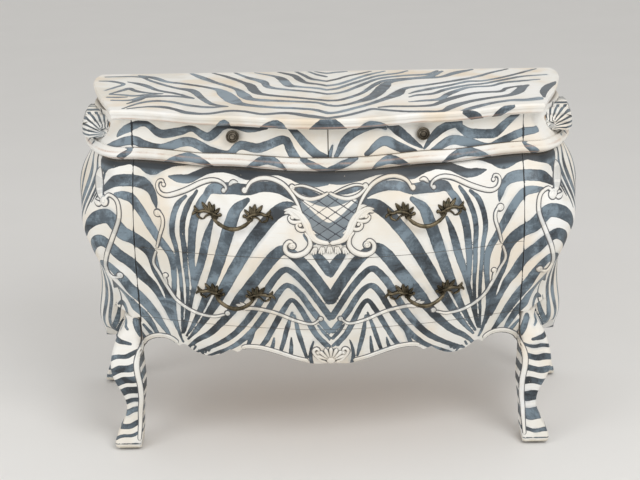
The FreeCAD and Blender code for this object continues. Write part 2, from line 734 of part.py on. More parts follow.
# ---- Knobs and pulls ----------------------------------------------------------------------
def surface_depth(x, z, solid):
    """How far forward the front of a solid lies at a width and height."""
    probe = Part.makeLine(Vector(x, -far, z), Vector(x, -mid_depth, z))
    return -solid.common(probe).BoundBox.YMin


def knob(x, z):
    """Turned knob with rings on its face and a stud let into the drawer front."""
    radius = knob_diameter / 2
    stud_radius = 4.0
    stud_length = 0.6 * front_thickness
    out = knob_projection
    profile = [(0, -stud_length), (stud_radius, -stud_length), (stud_radius, 1), (0.55 * radius, 1),
               (0.42 * radius, 0.35 * out), (0.50 * radius, 0.50 * out), (radius, 0.66 * out),
               (radius, 0.80 * out), (0.80 * radius, 0.92 * out), (0.74 * radius, 0.86 * out),
               (0.52 * radius, 0.94 * out), (0.46 * radius, 0.88 * out), (0.22 * radius, out),
               (0, out)]
    points = [Vector(r, 0, h) for r, h in profile]
    face = Part.Face(Part.makePolygon(points + [points[0]]))
    turned = face.revolve(Vector(0, 0, 0), Vector(0, 0, 1), 360)
    turned.rotate(Vector(0, 0, 0), Vector(1, 0, 0), 90)
    seat = min(surface_depth(x - radius / 2, z, frieze), surface_depth(x + radius / 2, z, frieze))
    turned.translate(Vector(x, -seat, z))
    return turned, stud_radius, seat - stud_length


knob_x = 0.476 * drawer_end
knob_z = waist_top + 0.60 * frieze_height
knob_turned, stud_radius, stud_end = knob(knob_x, knob_z)
stud = Part.makeCylinder(stud_radius, far, Vector(knob_x, -stud_end, knob_z), Vector(0, -1, 0))
knob_right = cleaned(knob_turned.cut(frieze).fuse(stud.common(frieze)))
for drawer in frieze_drawers:
    hole = stud if drawer.x0 >= 0 else mirrored(stud)
    drawer.pieces["front"] = cleaned(drawer.pieces["front"].cut(hole))

# Rococo pull: leaves hug the drawer front, two posts carry a grip that bows out and down.
pull_post_radius = 5.0
pull_post_bite = 5.0          # posts start this far inside the drawer front before it is cut away
pull_rose_radius = 8.0
pull_drop = 21.0
grip_bow = 8.0                # the middle of the grip stands this far in front of its ends
screw_bite = 10.0
screw_head_radius = 4.5
screw_head_height = 3.0
screw_head_sink = 1.5         # heads sit in a shallow spot inside the drawer front
pull_scroll = [(30, -2), (40, 9), (56, 5), (70, -6), (84, -2), (94, 10)]
pull_leaves = [[(52, 2), (60, 14), (62, 30)], [(60, 0), (72, 10), (80, 20)], [(70, -5), (86, -10), (97, -6)],
               [(56, 4), (50, 14), (42, 20)], [(68, -4), (64, -11), (58, -14)]]


def pull(x, z):
    """One pull centred on a place on the big drawer fronts, with its two screws and their holes."""
    blanks = [ribbon([(x + px, z + pz) for px, pz in pull_scroll], 6, 9, 5)]
    blanks += [ribbon([(x + px, z + pz) for px, pz in line], 9, 9, 3) for line in pull_leaves]
    leaves = []
    for blank in blanks:
        leaves.append(blank)
        turned = blank.mirror(Vector(x, 0, 0), Vector(1, 0, 0))
        leaves.append(turned)
    half = pull_post_spacing / 2
    screws = []
    holes = []
    heads = []
    posts = []
    for hand in (-1, 1):
        post_x = x + hand * half
        seat = surface_depth(post_x, z, body)
        inner = surface_depth(post_x, z, body_inside) + screw_head_sink
        out = seat + pull_projection - pull_grip_diameter / 2
        heads.append(Vector(post_x, -out, z))
        leaves.append(boss(post_x, z, pull_rose_radius))
        base = Vector(post_x, -(seat - pull_post_bite), z)
        length = out - seat + pull_post_bite
        posts.append(Part.makeCylinder(pull_post_radius, length, base, Vector(0, -1, 0)))
        posts.append(Part.makeSphere(pull_grip_diameter * 0.62, Vector(post_x, -out, z)))
        start = Vector(post_x, -inner, z)
        ahead = Vector(0, -1, 0)
        shank = Part.makeCylinder(screw_diameter / 2, seat - inner + screw_bite, start, ahead)
        head = Part.makeCylinder(screw_head_radius, screw_head_height,
                                 start - ahead * screw_head_height, ahead)
        screws.append(cleaned(shank.fuse(head)))
        room = Part.makeCylinder(screw_diameter / 2 + hole_clearance, far, start, ahead)
        spot = Part.makeCylinder(screw_head_radius + head_clearance, mid_depth, start - ahead * mid_depth,
                                 ahead)
        holes += [room, spot]
    low = (heads[0] + heads[1]) * 0.5 + Vector(0, -grip_bow, -pull_drop)
    arc = Part.Arc(heads[0], low, heads[1])
    grip_path = Part.Wire([arc.toShape()])
    ring = Part.Circle(heads[0], arc.tangent(arc.FirstParameter)[0], pull_grip_diameter / 2)
    grip = grip_path.makePipeShell([Part.Wire([ring.toShape()])], True, False)
    cast = carved(leaves, body_high_relief, body)
    cast = cast.fuse([post.cut(body) for post in posts] + [grip])
    return cleaned(cast.cut(screws)), screws, holes


pull_x = 0.483 * drawer_end
pulls = {}
screw_groups = {}
for drawer, pull_z in ((upper_drawer, split_height + 0.46 * upper_drawer_height),
                       (lower_drawer, split_height - 0.56 * lower_drawer_height)):
    right_pull, screws, holes = pull(pull_x, pull_z)
    pulls[drawer.name] = right_pull
    screw_groups[drawer.name] = Part.makeCompound(screws + [mirrored(screw) for screw in screws])
    tools = holes + [mirrored(hole) for hole in holes]
    drawer.pieces["front"] = cleaned(drawer.pieces["front"].cut(tools))

# ---- Nodes --------------------------------------------------------------------------------
nodes = {
    "top_board": top_board,
    "waist_moulding_front": waist_front,
    "waist_moulding_right": waist_right,
    "waist_moulding_left": mirrored(waist_right),
    "front_apron": front_apron,
    "apron_edge_bands": Part.makeCompound(edge_bands),
    "apron_shell": apron_shell,
    "back_panel": back_panel,
    "bottom_board": bottom_board,
    "middle_dust_board": middle_board,
    "frieze_dust_board": frieze_board,
    "frieze_divider": frieze_divider,
    "foot_glides": foot_glides,
    "upper_drawer_cartouche": cartouche,
    "upper_drawer_scrolls": Part.makeCompound(upper_scrolls),
    "lower_drawer_scrolls": Part.makeCompound(lower_scrolls),
}
for name, shape in (("front_post", front_post), ("rear_post", rear_post), ("side_panel", side_panel),
                    ("side_apron", side_apron), ("side_shell", side_shell),
                    ("corner_scroll", corner_scroll), ("guide_wall", guide_wall),
                    ("frieze_knob", knob_right), ("upper_drawer_pull", pulls["upper_drawer"]),
                    ("lower_drawer_pull", pulls["lower_drawer"])):
    nodes[name + "_right"] = cleaned(shape)
    nodes[name + "_left"] = mirrored(cleaned(shape))
for drawer in [upper_drawer, lower_drawer] + frieze_drawers:
    for name, shape in drawer.pieces.items():
        nodes[drawer.name + "_" + name] = shape
for name, group in screw_groups.items():
    nodes[name + "_pull_screws"] = group

# The origin goes to the middle of the whole chest, on the floor.
whole = Part.makeCompound(list(nodes.values())).optimalBoundingBox(False, False)
to_origin = Vector(-(whole.XMin + whole.XMax) / 2, -(whole.YMin + whole.YMax) / 2, -whole.ZMin)
os.makedirs("parts", exist_ok=True)
for name, shape in nodes.items():
    placed = shape.copy()
    placed.translate(to_origin)
    placed.exportStep("parts/" + name + ".step")
    print(name, len(placed.Solids), "solid(s)", round(placed.Volume / 1000, 1), "cm3")
print("moved by", to_origin, "overall", whole.XLength, whole.YLength, whole.ZLength)
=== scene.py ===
import math
import bpy
import numpy as np
from mathutils import Matrix, Vector
from mathutils.bvhtree import BVHTree
from mathutils.geometry import delaunay_2d_cdt


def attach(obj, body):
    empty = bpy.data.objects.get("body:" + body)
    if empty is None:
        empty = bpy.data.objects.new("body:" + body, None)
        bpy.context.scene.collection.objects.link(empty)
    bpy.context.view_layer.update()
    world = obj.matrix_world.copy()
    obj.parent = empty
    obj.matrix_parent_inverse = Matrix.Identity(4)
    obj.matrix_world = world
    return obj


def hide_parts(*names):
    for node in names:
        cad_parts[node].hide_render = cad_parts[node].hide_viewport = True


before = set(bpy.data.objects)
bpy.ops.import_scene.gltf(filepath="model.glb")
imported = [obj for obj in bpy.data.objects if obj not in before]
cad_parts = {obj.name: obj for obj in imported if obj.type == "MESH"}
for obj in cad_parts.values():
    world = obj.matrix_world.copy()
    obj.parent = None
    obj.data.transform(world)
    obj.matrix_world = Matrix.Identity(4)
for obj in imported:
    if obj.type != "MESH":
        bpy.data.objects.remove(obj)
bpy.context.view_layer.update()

print("frame loaded")

# The painting is laid out in millimetres: "around" runs along the front from the middle and on
# round the corner, "up" is the height. Past drawerEnd the front turns into the side, and bodyEnd
# is where it does so at each height. Ink is the distance inside a stroke, negative outside.
bodyEnd = {"up": [195, 270, 345, 403, 454, 540, 585, 641, 702, 742, 744, 770, 773, 844],
           "y": [-98, -114, -137, -153, -166, -176, -175, -165, -136, -106, -128, -128, -107, -107]}
drawerEnd = 473.0
noInk = -40.0
inkMargin = 12


def aroundFront(points):
    # distance from the middle of the front, carried on round the corner and down the side
    x, y, up = (points * 1000).T
    x = np.abs(x)
    return np.where(x < drawerEnd, x, x + np.maximum(0, y - np.interp(up, bodyEnd["up"], bodyEnd["y"])))


def places(text):
    # rows of numbers, a space between rows and commas inside them
    return np.array([place.split(",") for place in text.split()], float)


def readStrokes(text):
    # rows of around,up,width with a semicolon between strokes
    return [places(stroke) for stroke in text.split(";")]


def smoothStroke(stroke, step=6.0):
    # Catmull-Rom through the given places, ends kept
    rows = np.array(stroke, float)
    if len(rows) < 3:
        return rows
    rows = np.vstack([2 * rows[0] - rows[1], rows, 2 * rows[-1] - rows[-2]])
    out = []
    for a, b, c, d in zip(rows, rows[1:], rows[2:], rows[3:]):
        count = max(2, int(np.hypot(*(c - b)[:2]) / step))
        for k in range(count):
            t = k / count
            out.append(0.5 * (2 * b + (c - a) * t + (2 * a - 5 * b + 4 * c - d) * t * t
                              + (3 * b - a - 3 * c + d) * t ** 3))
    out = np.array(out + [rows[-2]])
    out[:, 2] = np.maximum(out[:, 2], 0)
    return out


def inkField(u, v, strokes, seed=1):
    # how far inside the nearest stroke a place lies, in mm, and that stroke's own shade
    ink, tone = np.full(len(u), noInk), np.zeros(len(u))
    shades = np.random.default_rng(seed).uniform(0, 1, len(strokes))
    for shade, stroke in zip(shades, strokes):
        line = smoothStroke(stroke)
        reach = line[:, 2].max() / 2 + inkMargin
        near = np.where((u > line[:, 0].min() - reach) & (u < line[:, 0].max() + reach)
                        & (v > line[:, 1].min() - reach) & (v < line[:, 1].max() + reach))[0]
        if not len(near):
            continue
        pu, pv = u[near], v[near]
        best = np.full(len(near), noInk)
        for (au, av, aw), (bu, bv, bw) in zip(line, line[1:]):
            du, dv = bu - au, bv - av
            t = np.clip(((pu - au) * du + (pv - av) * dv) / max(du * du + dv * dv, 1e-6), 0, 1)
            away = np.hypot(pu - au - t * du, pv - av - t * dv)
            best = np.maximum(best, (aw + (bw - aw) * t) / 2 - away)
        won = best > ink[near]
        ink[near] = np.where(won, best, ink[near])
        tone[near] = np.where(won, shade, tone[near])
    return ink, tone


def fetch(rows, key, kind, width=3):
    flat = np.zeros(len(rows) * width, kind)
    rows.foreach_get(key, flat)
    return flat.reshape(-1, width)


def nodeArrays(name):
    # places, normals and triangles of a CAD piece
    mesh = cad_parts[name].data
    mesh.calc_loop_triangles()
    normals = np.zeros((len(mesh.vertices), 3))
    corners = fetch(mesh.loops, "vertex_index", np.int32, 1).ravel()
    normals[corners] = fetch(mesh.corner_normals, "vector", np.float32)
    tris = fetch(mesh.loop_triangles, "vertices", np.int32).astype(np.int64)
    return fetch(mesh.vertices, "co", float), normals, tris


def refine(points, normals, tris, longest, rounds=14):
    # halve every edge over the length until none is left
    for _ in range(rounds):
        pairs = np.concatenate([tris[:, [0, 1]], tris[:, [1, 2]], tris[:, [2, 0]]])
        pairs.sort(axis=1)
        keys, back = np.unique(pairs[:, 0] * len(points) + pairs[:, 1], return_inverse=True)
        a, b = keys // len(points), keys % len(points)
        tooLong = np.linalg.norm(points[a] - points[b], axis=1) > longest
        if not tooLong.any():
            break
        fresh = np.where(tooLong, len(points) + np.cumsum(tooLong) - 1, -1)
        lean = normals[a[tooLong]] + normals[b[tooLong]]
        lean /= np.maximum(np.linalg.norm(lean, axis=1, keepdims=True), 1e-9)
        points = np.vstack([points, (points[a[tooLong]] + points[b[tooLong]]) / 2])
        normals = np.vstack([normals, lean])
        # columns 0 to 2 are the corners and 3 to 5 the middles of the sides that follow them
        cut = fresh[back].reshape(3, -1).T
        count = (cut >= 0).sum(axis=1)
        whole = np.hstack([tris, cut])
        parts = [tris[count == 0]]
        parts += [whole[count == 3][:, pick] for pick in ([0, 3, 5], [3, 1, 4], [5, 4, 2], [3, 4, 5])]
        for turn in range(3):
            order = [(turn + k) % 3 for k in range(3)]
            turned = np.hstack([tris[:, order], cut[:, order]])
            one = turned[(count == 1) & (cut[:, turn] >= 0)]
            two = turned[(count == 2) & (cut[:, (turn + 2) % 3] < 0)]
            parts += [one[:, pick] for pick in ([0, 3, 2], [3, 1, 2])]
            parts += [two[:, pick] for pick in ([3, 1, 4], [0, 3, 4], [0, 4, 2])]
        tris = np.concatenate(parts)
    return points, normals, tris


def addObject(name, data):
    made = bpy.data.objects.new(name, data)
    bpy.context.scene.collection.objects.link(made)
    return made


def newPiece(name, points, faces, materials, body, normals=None, slotName="painted_wood", **values):
    mesh = bpy.data.meshes.new(name)
    mesh.from_pydata([tuple(p) for p in points], [], [tuple(int(i) for i in f) for f in faces])
    for material in materials:
        mesh.materials.append(material)
    for key, value in values.items():
        mesh.attributes.new(key, "FLOAT", "POINT").data.foreach_set("value", np.asarray(value, np.float32))
    mesh.polygons.foreach_set("use_smooth", np.ones(len(mesh.polygons), bool))
    if normals is not None:
        mesh.normals_split_custom_set_from_vertices([tuple(n) for n in normals])
    piece = addObject(name, mesh)
    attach(piece, body)
    return piece


class Nodes:
    def __init__(self, tree):
        self.tree = tree

    def add(self, kind, **settings):
        made = self.tree.nodes.new(kind)
        for key, value in settings.items():
            setattr(made, key, value)
        return made

    def feed(self, socket, value):
        if isinstance(value, bpy.types.NodeSocket):
            self.tree.links.new(value, socket)
        else:
            socket.default_value = value

    def math(self, operation, a, b):
        made = self.add("ShaderNodeMath", operation=operation)
        self.feed(made.inputs[0], a)
        self.feed(made.inputs[1], b)
        return made.outputs[0]

    def times(self, a, b):
        return self.math("MULTIPLY", a, b)

    def plus(self, a, b):
        return self.math("ADD", a, b)

    def steps(self, value, low, high, out0=0.0, out1=1.0):
        made = self.add("ShaderNodeMapRange", interpolation_type="SMOOTHSTEP")
        for index, given in enumerate((value, low, high, out0, out1)):
            self.feed(made.inputs[index], given)
        return made.outputs[0]


class Shader(Nodes):
    # a colour may be given by its name in the material's own list
    def __init__(self, name, colours, **sockets):
        self.colours = colours
        self.material = bpy.data.materials.new(name)
        self.material.use_nodes = True
        super().__init__(self.material.node_tree)
        self.base = self.tree.nodes["Principled BSDF"]
        self.surface(**sockets)
        self.place = self.add("ShaderNodeTexCoord").outputs["Object"]

    def surface(self, **sockets):
        for key, value in sockets.items():
            self.feed(self.base.inputs[key.replace("_", " ")], value)

    def value(self, attribute):
        return self.add("ShaderNodeAttribute", attribute_name=attribute).outputs["Fac"]

    def noise(self, scale, detail=2.0, rough=0.5, distortion=0.0, stretch=None):
        place = self.place
        if stretch:
            mapping = self.add("ShaderNodeMapping")
            self.feed(mapping.inputs["Vector"], place)
            mapping.inputs["Scale"].default_value = stretch
            place = mapping.outputs[0]
        made = self.add("ShaderNodeTexNoise")
        self.feed(made.inputs["Vector"], place)
        settings = {"Scale": scale, "Detail": detail, "Roughness": rough, "Distortion": distortion}
        for key, given in settings.items():
            made.inputs[key].default_value = given
        return made.outputs["Fac"]

    def jitter(self, value, noise, reach):
        return self.plus(value, self.times(self.math("SUBTRACT", noise, 0.5), reach))

    def mix(self, share, a, b):
        made = self.add("ShaderNodeMix", data_type="RGBA")
        for index, given in ((0, share), (6, a), (7, b)):
            self.feed(made.inputs[index], self.colours[given] if isinstance(given, str) else given)
        return made.outputs[2]

    def occlusionShade(self, distance, low, high, most=1.0):
        # darkening by ambient occlusion: painted shade in creases, corners and between parts
        made = self.add("ShaderNodeAmbientOcclusion", samples=6)
        made.inputs["Distance"].default_value = distance
        return self.steps(made.outputs["AO"], low, high, 0.0, most)

    def bump(self, height, strength, distance):
        made = self.add("ShaderNodeBump")
        for key, given in (("Strength", strength), ("Distance", distance), ("Height", height)):
            self.feed(made.inputs[key], given)
        self.surface(Normal=made.outputs[0])


# the dark brown is painted shade in corners and creases; the near-black outline colour is painted shade
# round the carving and also draws the lattice lines
paint = {
    "cream": (0.835, 0.820, 0.772, 1), "white": (0.885, 0.885, 0.870, 1), "buff": (0.785, 0.670, 0.520, 1),
    "slate": (0.066, 0.088, 0.108, 1), "deepSlate": (0.024, 0.031, 0.038, 1),
    "thinSlate": (0.192, 0.250, 0.296, 1), "mist": (0.470, 0.510, 0.530, 1),
    "aged": (0.640, 0.590, 0.490, 1), "wash": (0.520, 0.330, 0.240, 1),
    "creaseShade": (0.150, 0.128, 0.105, 1), "outline": (0.030, 0.034, 0.046, 1)}


def groundPaint(mat, grain, warmth=0.6):
    # brushed cream over wood, with warmer patches and fine streaks
    patches = mat.steps(mat.noise(7.0, 3.0, 0.55), 0.42, 0.68)
    streaks = mat.noise(1.0, 4.0, 0.6, stretch=grain)
    ground = mat.mix(mat.times(patches, warmth), "cream", "buff")
    ground = mat.mix(mat.steps(mat.noise(3.1), 0.5, 0.7), ground, "white")
    ground = mat.mix(mat.steps(mat.noise(4.6, 3.0, 0.6, 0.6), 0.50, 0.64, 0.0, 0.42), ground, "aged")
    return mat.mix(mat.steps(streaks, 0.50, 0.80, 0.0, 0.34), ground, "buff"), streaks


def stripedPaint(name, grain, softness=1.0, warmth=0.6):
    mat = Shader(name, paint)
    ground, streaks = groundPaint(mat, grain, warmth)
    ink = mat.jitter(mat.value("ink"), mat.noise(55, 3, 0.6), 3.2)
    cover = mat.steps(ink, -0.35 * softness, 0.55 * softness)
    # a thin grey drag of the brush beside some of the strokes
    drag = mat.times(mat.steps(ink, -9.0 * softness, 0.5), mat.steps(mat.noise(13, 4, 0.6), 0.48, 0.66))
    ground = mat.mix(mat.times(drag, 0.62), ground, "mist")
    # thin and thick places of the brushed slate, and the darker line where the brush stopped
    pools = mat.plus(mat.times(mat.noise(11, 5, 0.6, 0.8), 1.05), mat.times(streaks, 0.16))
    pools = mat.plus(pools, mat.times(mat.value("tone"), 0.10))
    pools = mat.jitter(pools, mat.noise(150, 4, 0.75), 0.22)
    slate = mat.mix(mat.steps(pools, 0.50, 0.62), "deepSlate", "slate")
    slate = mat.mix(mat.steps(pools, 0.61, 0.80), slate, "thinSlate")
    hairs = mat.steps(mat.noise(1.0, 3.0, 0.6, stretch=(260, 260, 34)), 0.60, 0.68)
    hairs = mat.times(hairs, mat.steps(mat.noise(9), 0.50, 0.60))
    slate = mat.mix(mat.times(hairs, 0.75), slate, "deepSlate")
    # a tone over one turns the slate deep: painted shade under the mouldings and along the drawer gaps, and
    # some darker strokes on the top and the side shells
    slate = mat.mix(mat.steps(mat.value("tone"), 1.0, 2.0), slate, "deepSlate")
    edge = mat.times(mat.steps(ink, 3.2, 0.4), mat.steps(mat.noise(30), 0.35, 0.6))
    slate = mat.mix(mat.times(edge, 0.6), slate, "deepSlate")
    colour = mat.mix(cover, ground, slate)
    # brown wash in grooves, worn spots, chips, painted shade in the corners
    wash = mat.times(mat.value("wash"), mat.steps(mat.noise(24, 3), 0.25, 0.65))
    colour = mat.mix(wash, colour, "wash")
    worn = mat.times(mat.value("worn"), mat.steps(mat.noise(60, 3), 0.2, 0.5))
    colour = mat.mix(worn, colour, "aged")
    colour = mat.mix(mat.steps(mat.noise(90, 4, 0.7), 0.69, 0.73, 0.0, 0.5), colour, "buff")
    # painted shade in the corners and creases, by ambient occlusion
    colour = mat.mix(mat.occlusionShade(0.012, 0.85, 0.35, 0.75), colour, "creaseShade")
    rough = mat.plus(mat.plus(0.42, mat.times(streaks, 0.22)), mat.times(cover, -0.06))
    mat.surface(Base_Color=colour, Roughness=rough)
    height = mat.plus(mat.times(streaks, 0.6), mat.times(cover, 0.35))
    mat.bump(mat.plus(height, mat.times(mat.noise(420), 0.15)), 0.35, 0.0006)
    return mat.material


def carvedPaint(name):
    # cream carving with painted shade: a dark line round its edges, darker flanks and grooves, and
    # darkening in its recesses
    mat = Shader(name, paint, Roughness=0.48)
    ground, streaks = groundPaint(mat, (60, 60, 60))
    rim = mat.jitter(mat.value("rim"), mat.noise(70, 3), 0.35)
    # slate patches on the flanks, where the rim rises: painted shade
    shade = mat.mix(mat.steps(mat.noise(28, 3), 0.5, 0.62, 0.0, 0.65), ground, "thinSlate")
    shade = mat.mix(mat.steps(rim, 0.25, 0.6), ground, shade)
    ink = mat.steps(mat.plus(mat.value("ink"), mat.times(mat.noise(60), 2)), 0.0, 1.5, 0.0, 0.22)
    shade = mat.mix(ink, shade, mat.mix(mat.noise(40, 3), "slate", "thinSlate"))
    # where the rim is highest the colour goes near black: painted shade round the edges of the carving
    colour = mat.mix(mat.steps(rim, 0.70, 0.86, 0.0, 0.9), shade, "outline")
    # painted shade in the recesses of the carving, by ambient occlusion
    mat.surface(Base_Color=mat.mix(mat.occlusionShade(0.006, 0.8, 0.25, 0.7), colour, "creaseShade"))
    mat.bump(mat.plus(streaks, mat.times(mat.noise(260, 3), 0.4)), 0.3, 0.0005)
    return mat.material


def latticePaint(name):
    mat = Shader(name, paint, Roughness=0.5)
    ground, streaks = groundPaint(mat, (40, 40, 120))
    cover = mat.steps(mat.plus(mat.value("ink"), mat.times(mat.noise(90, 3), 2)), 0, 1.6)
    slate = mat.mix(mat.noise(45, 4), "slate", "thinSlate")
    colour = mat.mix(mat.times(cover, 0.9), ground, slate)
    line = mat.steps(mat.plus(mat.value("lattice"), mat.times(mat.noise(140), 0.9)), 0.0, 0.7)
    mat.surface(Base_Color=mat.mix(mat.times(line, 0.92), colour, "outline"))
    mat.bump(mat.math("SUBTRACT", mat.times(streaks, 0.2), line), 0.5, 0.001)
    return mat.material


wood = {"dark": (0.42, 0.27, 0.15, 1), "pale": (0.58, 0.41, 0.25, 1), "grain": (0.26, 0.155, 0.08, 1),
        "stain": (0.30, 0.22, 0.15, 1), "alongGrain": (7, 90, 90), "acrossRings": (2, 14, 14)}


def bareWood(name):
    mat = Shader(name, wood)
    grain = mat.noise(1.0, 5, 0.6, 0.6, wood["alongGrain"])
    rings = mat.noise(2.0, 3, 0.5, 1.5, wood["acrossRings"])
    colour = mat.mix(mat.steps(rings, 0.35, 0.7), "dark", "pale")
    colour = mat.mix(mat.steps(grain, 0.45, 0.75, 0.0, 0.6), colour, "grain")
    colour = mat.mix(mat.steps(mat.noise(5, 4), 0.55, 0.75, 0.0, 0.5), colour, "stain")
    mat.surface(Base_Color=colour, Roughness=mat.plus(0.5, mat.times(grain, 0.3)))
    mat.bump(grain, 0.4, 0.0008)
    return mat.material


# the knobs get a lighter copy of the antique brass
knobColours = {"dark": (0.105, 0.090, 0.070, 1), "worn": (0.310, 0.270, 0.215, 1),
               "patinaAndShade": (0.030, 0.026, 0.020, 1), "green": (0.120, 0.125, 0.100, 1)}
brassColours = {"dark": (0.062, 0.052, 0.034, 1), "worn": (0.195, 0.160, 0.105, 1),
                "patinaAndShade": (0.018, 0.016, 0.012, 1), "green": (0.075, 0.095, 0.068, 1)}


def antiqueBrass(name, colours):
    mat = Shader(name, colours, Metallic=1.0)
    colour = mat.mix(mat.steps(mat.noise(45, 5, 0.65), 0.38, 0.66), "dark", "worn")
    # near black in the recesses: partly patina, partly painted shade under and between the leaves
    colour = mat.mix(mat.occlusionShade(0.007, 0.98, 0.50), colour, "patinaAndShade")
    colour = mat.mix(mat.steps(mat.noise(110, 3), 0.60, 0.72, 0.0, 0.45), colour, "green")
    mat.surface(Base_Color=colour, Roughness=mat.plus(0.34, mat.times(mat.noise(80, 3), 0.3)))
    mat.bump(mat.noise(240, 4), 0.35, 0.0006)
    return mat.material


plain = {
    "screwSteel": {"metal": 1.0, "pattern": (1.0, 3, 0.5, 0.0, (700, 60, 700)), "steps": (0.3, 0.7),
                   "dark": (0.36, 0.36, 0.35, 1), "pale": (0.62, 0.62, 0.60, 1),
                   "rough": (0.25, 0.25), "bump": (0.2, 0.0003)},
    "footGlide": {"metal": 0.0, "pattern": (130, 4, 0.7), "steps": (0.35, 0.7),
                  "dark": (0.16, 0.15, 0.14, 1), "pale": (0.42, 0.40, 0.37, 1),
                  "rough": (0.45, 0.3), "bump": (0.3, 0.0004)}}


def plainFinish(name):
    # turned marks or scuffs between two greys
    look = plain[name]
    mat = Shader(name, look, Metallic=look["metal"])
    pattern = mat.noise(*look["pattern"])
    base, share = look["rough"]
    mat.surface(Base_Color=mat.mix(mat.steps(pattern, *look["steps"]), "dark", "pale"),
                Roughness=mat.plus(base, mat.times(pattern, share)))
    mat.bump(pattern, *look["bump"])
    return mat.material


frontPaint = stripedPaint("frontStripes", (14, 14, 150))
topPaint = stripedPaint("topStripes", (9, 150, 150), softness=0.8, warmth=0.95)
carving = carvedPaint("carvedCream")
bareBoards = bareWood("bareDrawerWood")
brass = antiqueBrass("antiqueBrass", brassColours)
knobBrass = antiqueBrass("lighterKnobBrass", knobColours)
cadFinish = {"bare_wood": bareBoards, "antique_brass": brass, "steel": plainFinish("screwSteel"),
             "glide": plainFinish("footGlide"), "painted_wood": frontPaint}
for name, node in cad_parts.items():
    for holder in node.material_slots:
        holder.material = knobBrass if "_knob_" in name else cadFinish.get(holder.material.name, bareBoards)
print("materials made")

frontStrokes = readStrokes("""
600,722,40 560,732,30 501,739,19 478,740,16 452,736,24 427,730,34 398,736,22 369,741,12 315,746,4;
383,713,2 360,711,15 335,712,17 312,722,16 290,732,14 255,737,12 223,736,18 191,731,25 155,736,18
124,738,14 93,735,20 66,729,28 30,725,32 0,728,30;
606,652,4 580,672,15 556,684,21 532,693,24 500,698,24 468,697,24 443,692,24 426,679,18 418,659,14
414,641,2;
519,667,7 495,665,17 476,659,19 460,641,20 444,618,20 428,592,20 409,565,19 391,543,18 380,520,17
377,479,13 380,432,11 384,383,10 380,334,8 373,300,5 368,284,4;
662,552,5 640,568,18 612,594,29 575,611,33 539,616,32 521,600,32 501,576,32 475,563,29 451,548,29
435,532,28 428,512,23 422,485,21 411,462,21 400,435,18 394,403,16 388,360,13 380,322,7;
654,498,5 634,514,18 612,535,26 590,549,28 565,555,28 539,542,26 514,520,26 489,503,26 468,481,26
453,461,25 433,440,22 418,412,16 404,380,13 394,345,5;
650,440,5 628,462,18 600,480,24 576,486,25 552,486,25 521,461,28 496,429,29 474,407,28 454,385,25
435,357,22 420,330,16 406,306,10 396,285,6;
640,396,5 618,410,18 592,420,24 560,414,26 510,396,24 483,371,22 460,349,19 444,322,14 434,300,9 428,282,4;
493,335,8 483,320,8 474,300,3; 84,706,4 64,700,13 42,694,12 22,690,3; 620,350,4 590,362,13 560,354,15
528,332,12 508,310,4; 340,675,5 362,653,11 374,617,12 376,585,12 368,548,10 364,510,9 361,465,8 361,409,7
365,360,5 368,310,3;
313,688,5 334,657,11 348,620,12 351,587,12 348,550,11 347,503,10 345,458,8 348,411,6 355,361,5 364,311,3;
275,696,8 299,669,16 315,638,18 325,602,18 329,565,17 331,526,15 331,478,10 333,446,3;
276,626,6 288,593,15 297,560,18 306,525,18 317,489,15 328,451,11 338,411,8 349,360,5 361,316,3;
191,675,10 219,652,24 232,621,28 245,584,28 257,546,27 272,502,25 289,455,21 304,415,17 321,375,13
340,335,8 358,303,4;
299,672,6 279,694,19 255,697,23 223,699,24 191,697,22 156,705,20 117,703,22 86,690,22 62,670,10;
40,612,8 47,640,20 78,657,26 105,660,28 133,641,28 161,609,28 186,576,28 207,541,28 232,497,27 254,454,25
278,409,21 302,368,16 330,325,10 354,294,4;
0,432,26 20,468,26 50,512,26 80,545,25 109,561,23 135,541,26 164,501,26 194,459,26 219,424,24 238,392,21
264,356,17 298,318,14 330,294,11 356,268,6;
0,380,15 24,420,15 51,463,15 81,498,15 105,512,13 129,490,15 150,457,15 169,420,15 190,383,15 216,346,14
246,313,13 285,284,10 318,264,8 336,254,4;
0,338,12 14,357,14 44,402,14 73,449,14 102,470,12 126,444,14 143,410,14 167,370,14 192,334,13 220,303,12
248,280,10 282,260,8 306,246,4;
12,300,10 37,335,13 56,373,13 75,411,12 93,430,10 112,402,12 129,368,13 146,333,12 162,303,11 180,282,9
204,262,5;
92,394,4 106,345,10 118,298,9 127,268,5; 87,386,4 78,335,10 67,292,9 60,262,5; 44,566,10 24,542,21
0,508,24; 60,600,4 48,585,8 34,578,3; 0,318,7 15,336,7 30,358,3; 0,296,6 20,318,6 35,340,2; 316,244,3
322,254,4 330,262,2; 276,246,3 270,260,5 262,272,2; 158,252,9 150,272,10 142,296,8 138,318,2; 222,268,3
206,288,8 196,310,8 184,338,2; 104,240,8 100,262,9 97,290,8 96,322,2; 46,240,7 50,262,8 48,290,6 42,312,2;
395,262,8 399,280,5 406,300,2; 440,280,9 452,300,9 468,322,4; 470,285,10 482,306,9 495,330,3; 590,298,4
562,292,9 530,284,10 500,277,4; 604,334,3 580,334,8 552,322,10 528,306,3; 601,330,2 612,300,9 622,262,11
630,222,7; 634,350,3 630,300,12 642,250,13 650,210,7; 352,266,3 346,279,3; 342,262,3 336,274,3; 321,252,4
315,265,4; 313,256,4 306,270,4; 304,262,3 297,276,3; 592,732,4 599,702,12 609,678,13 624,640,3; 612,734,5
622,700,13 634,660,15 646,610,4; 590,441,4 591,390,9 604,312,4""")
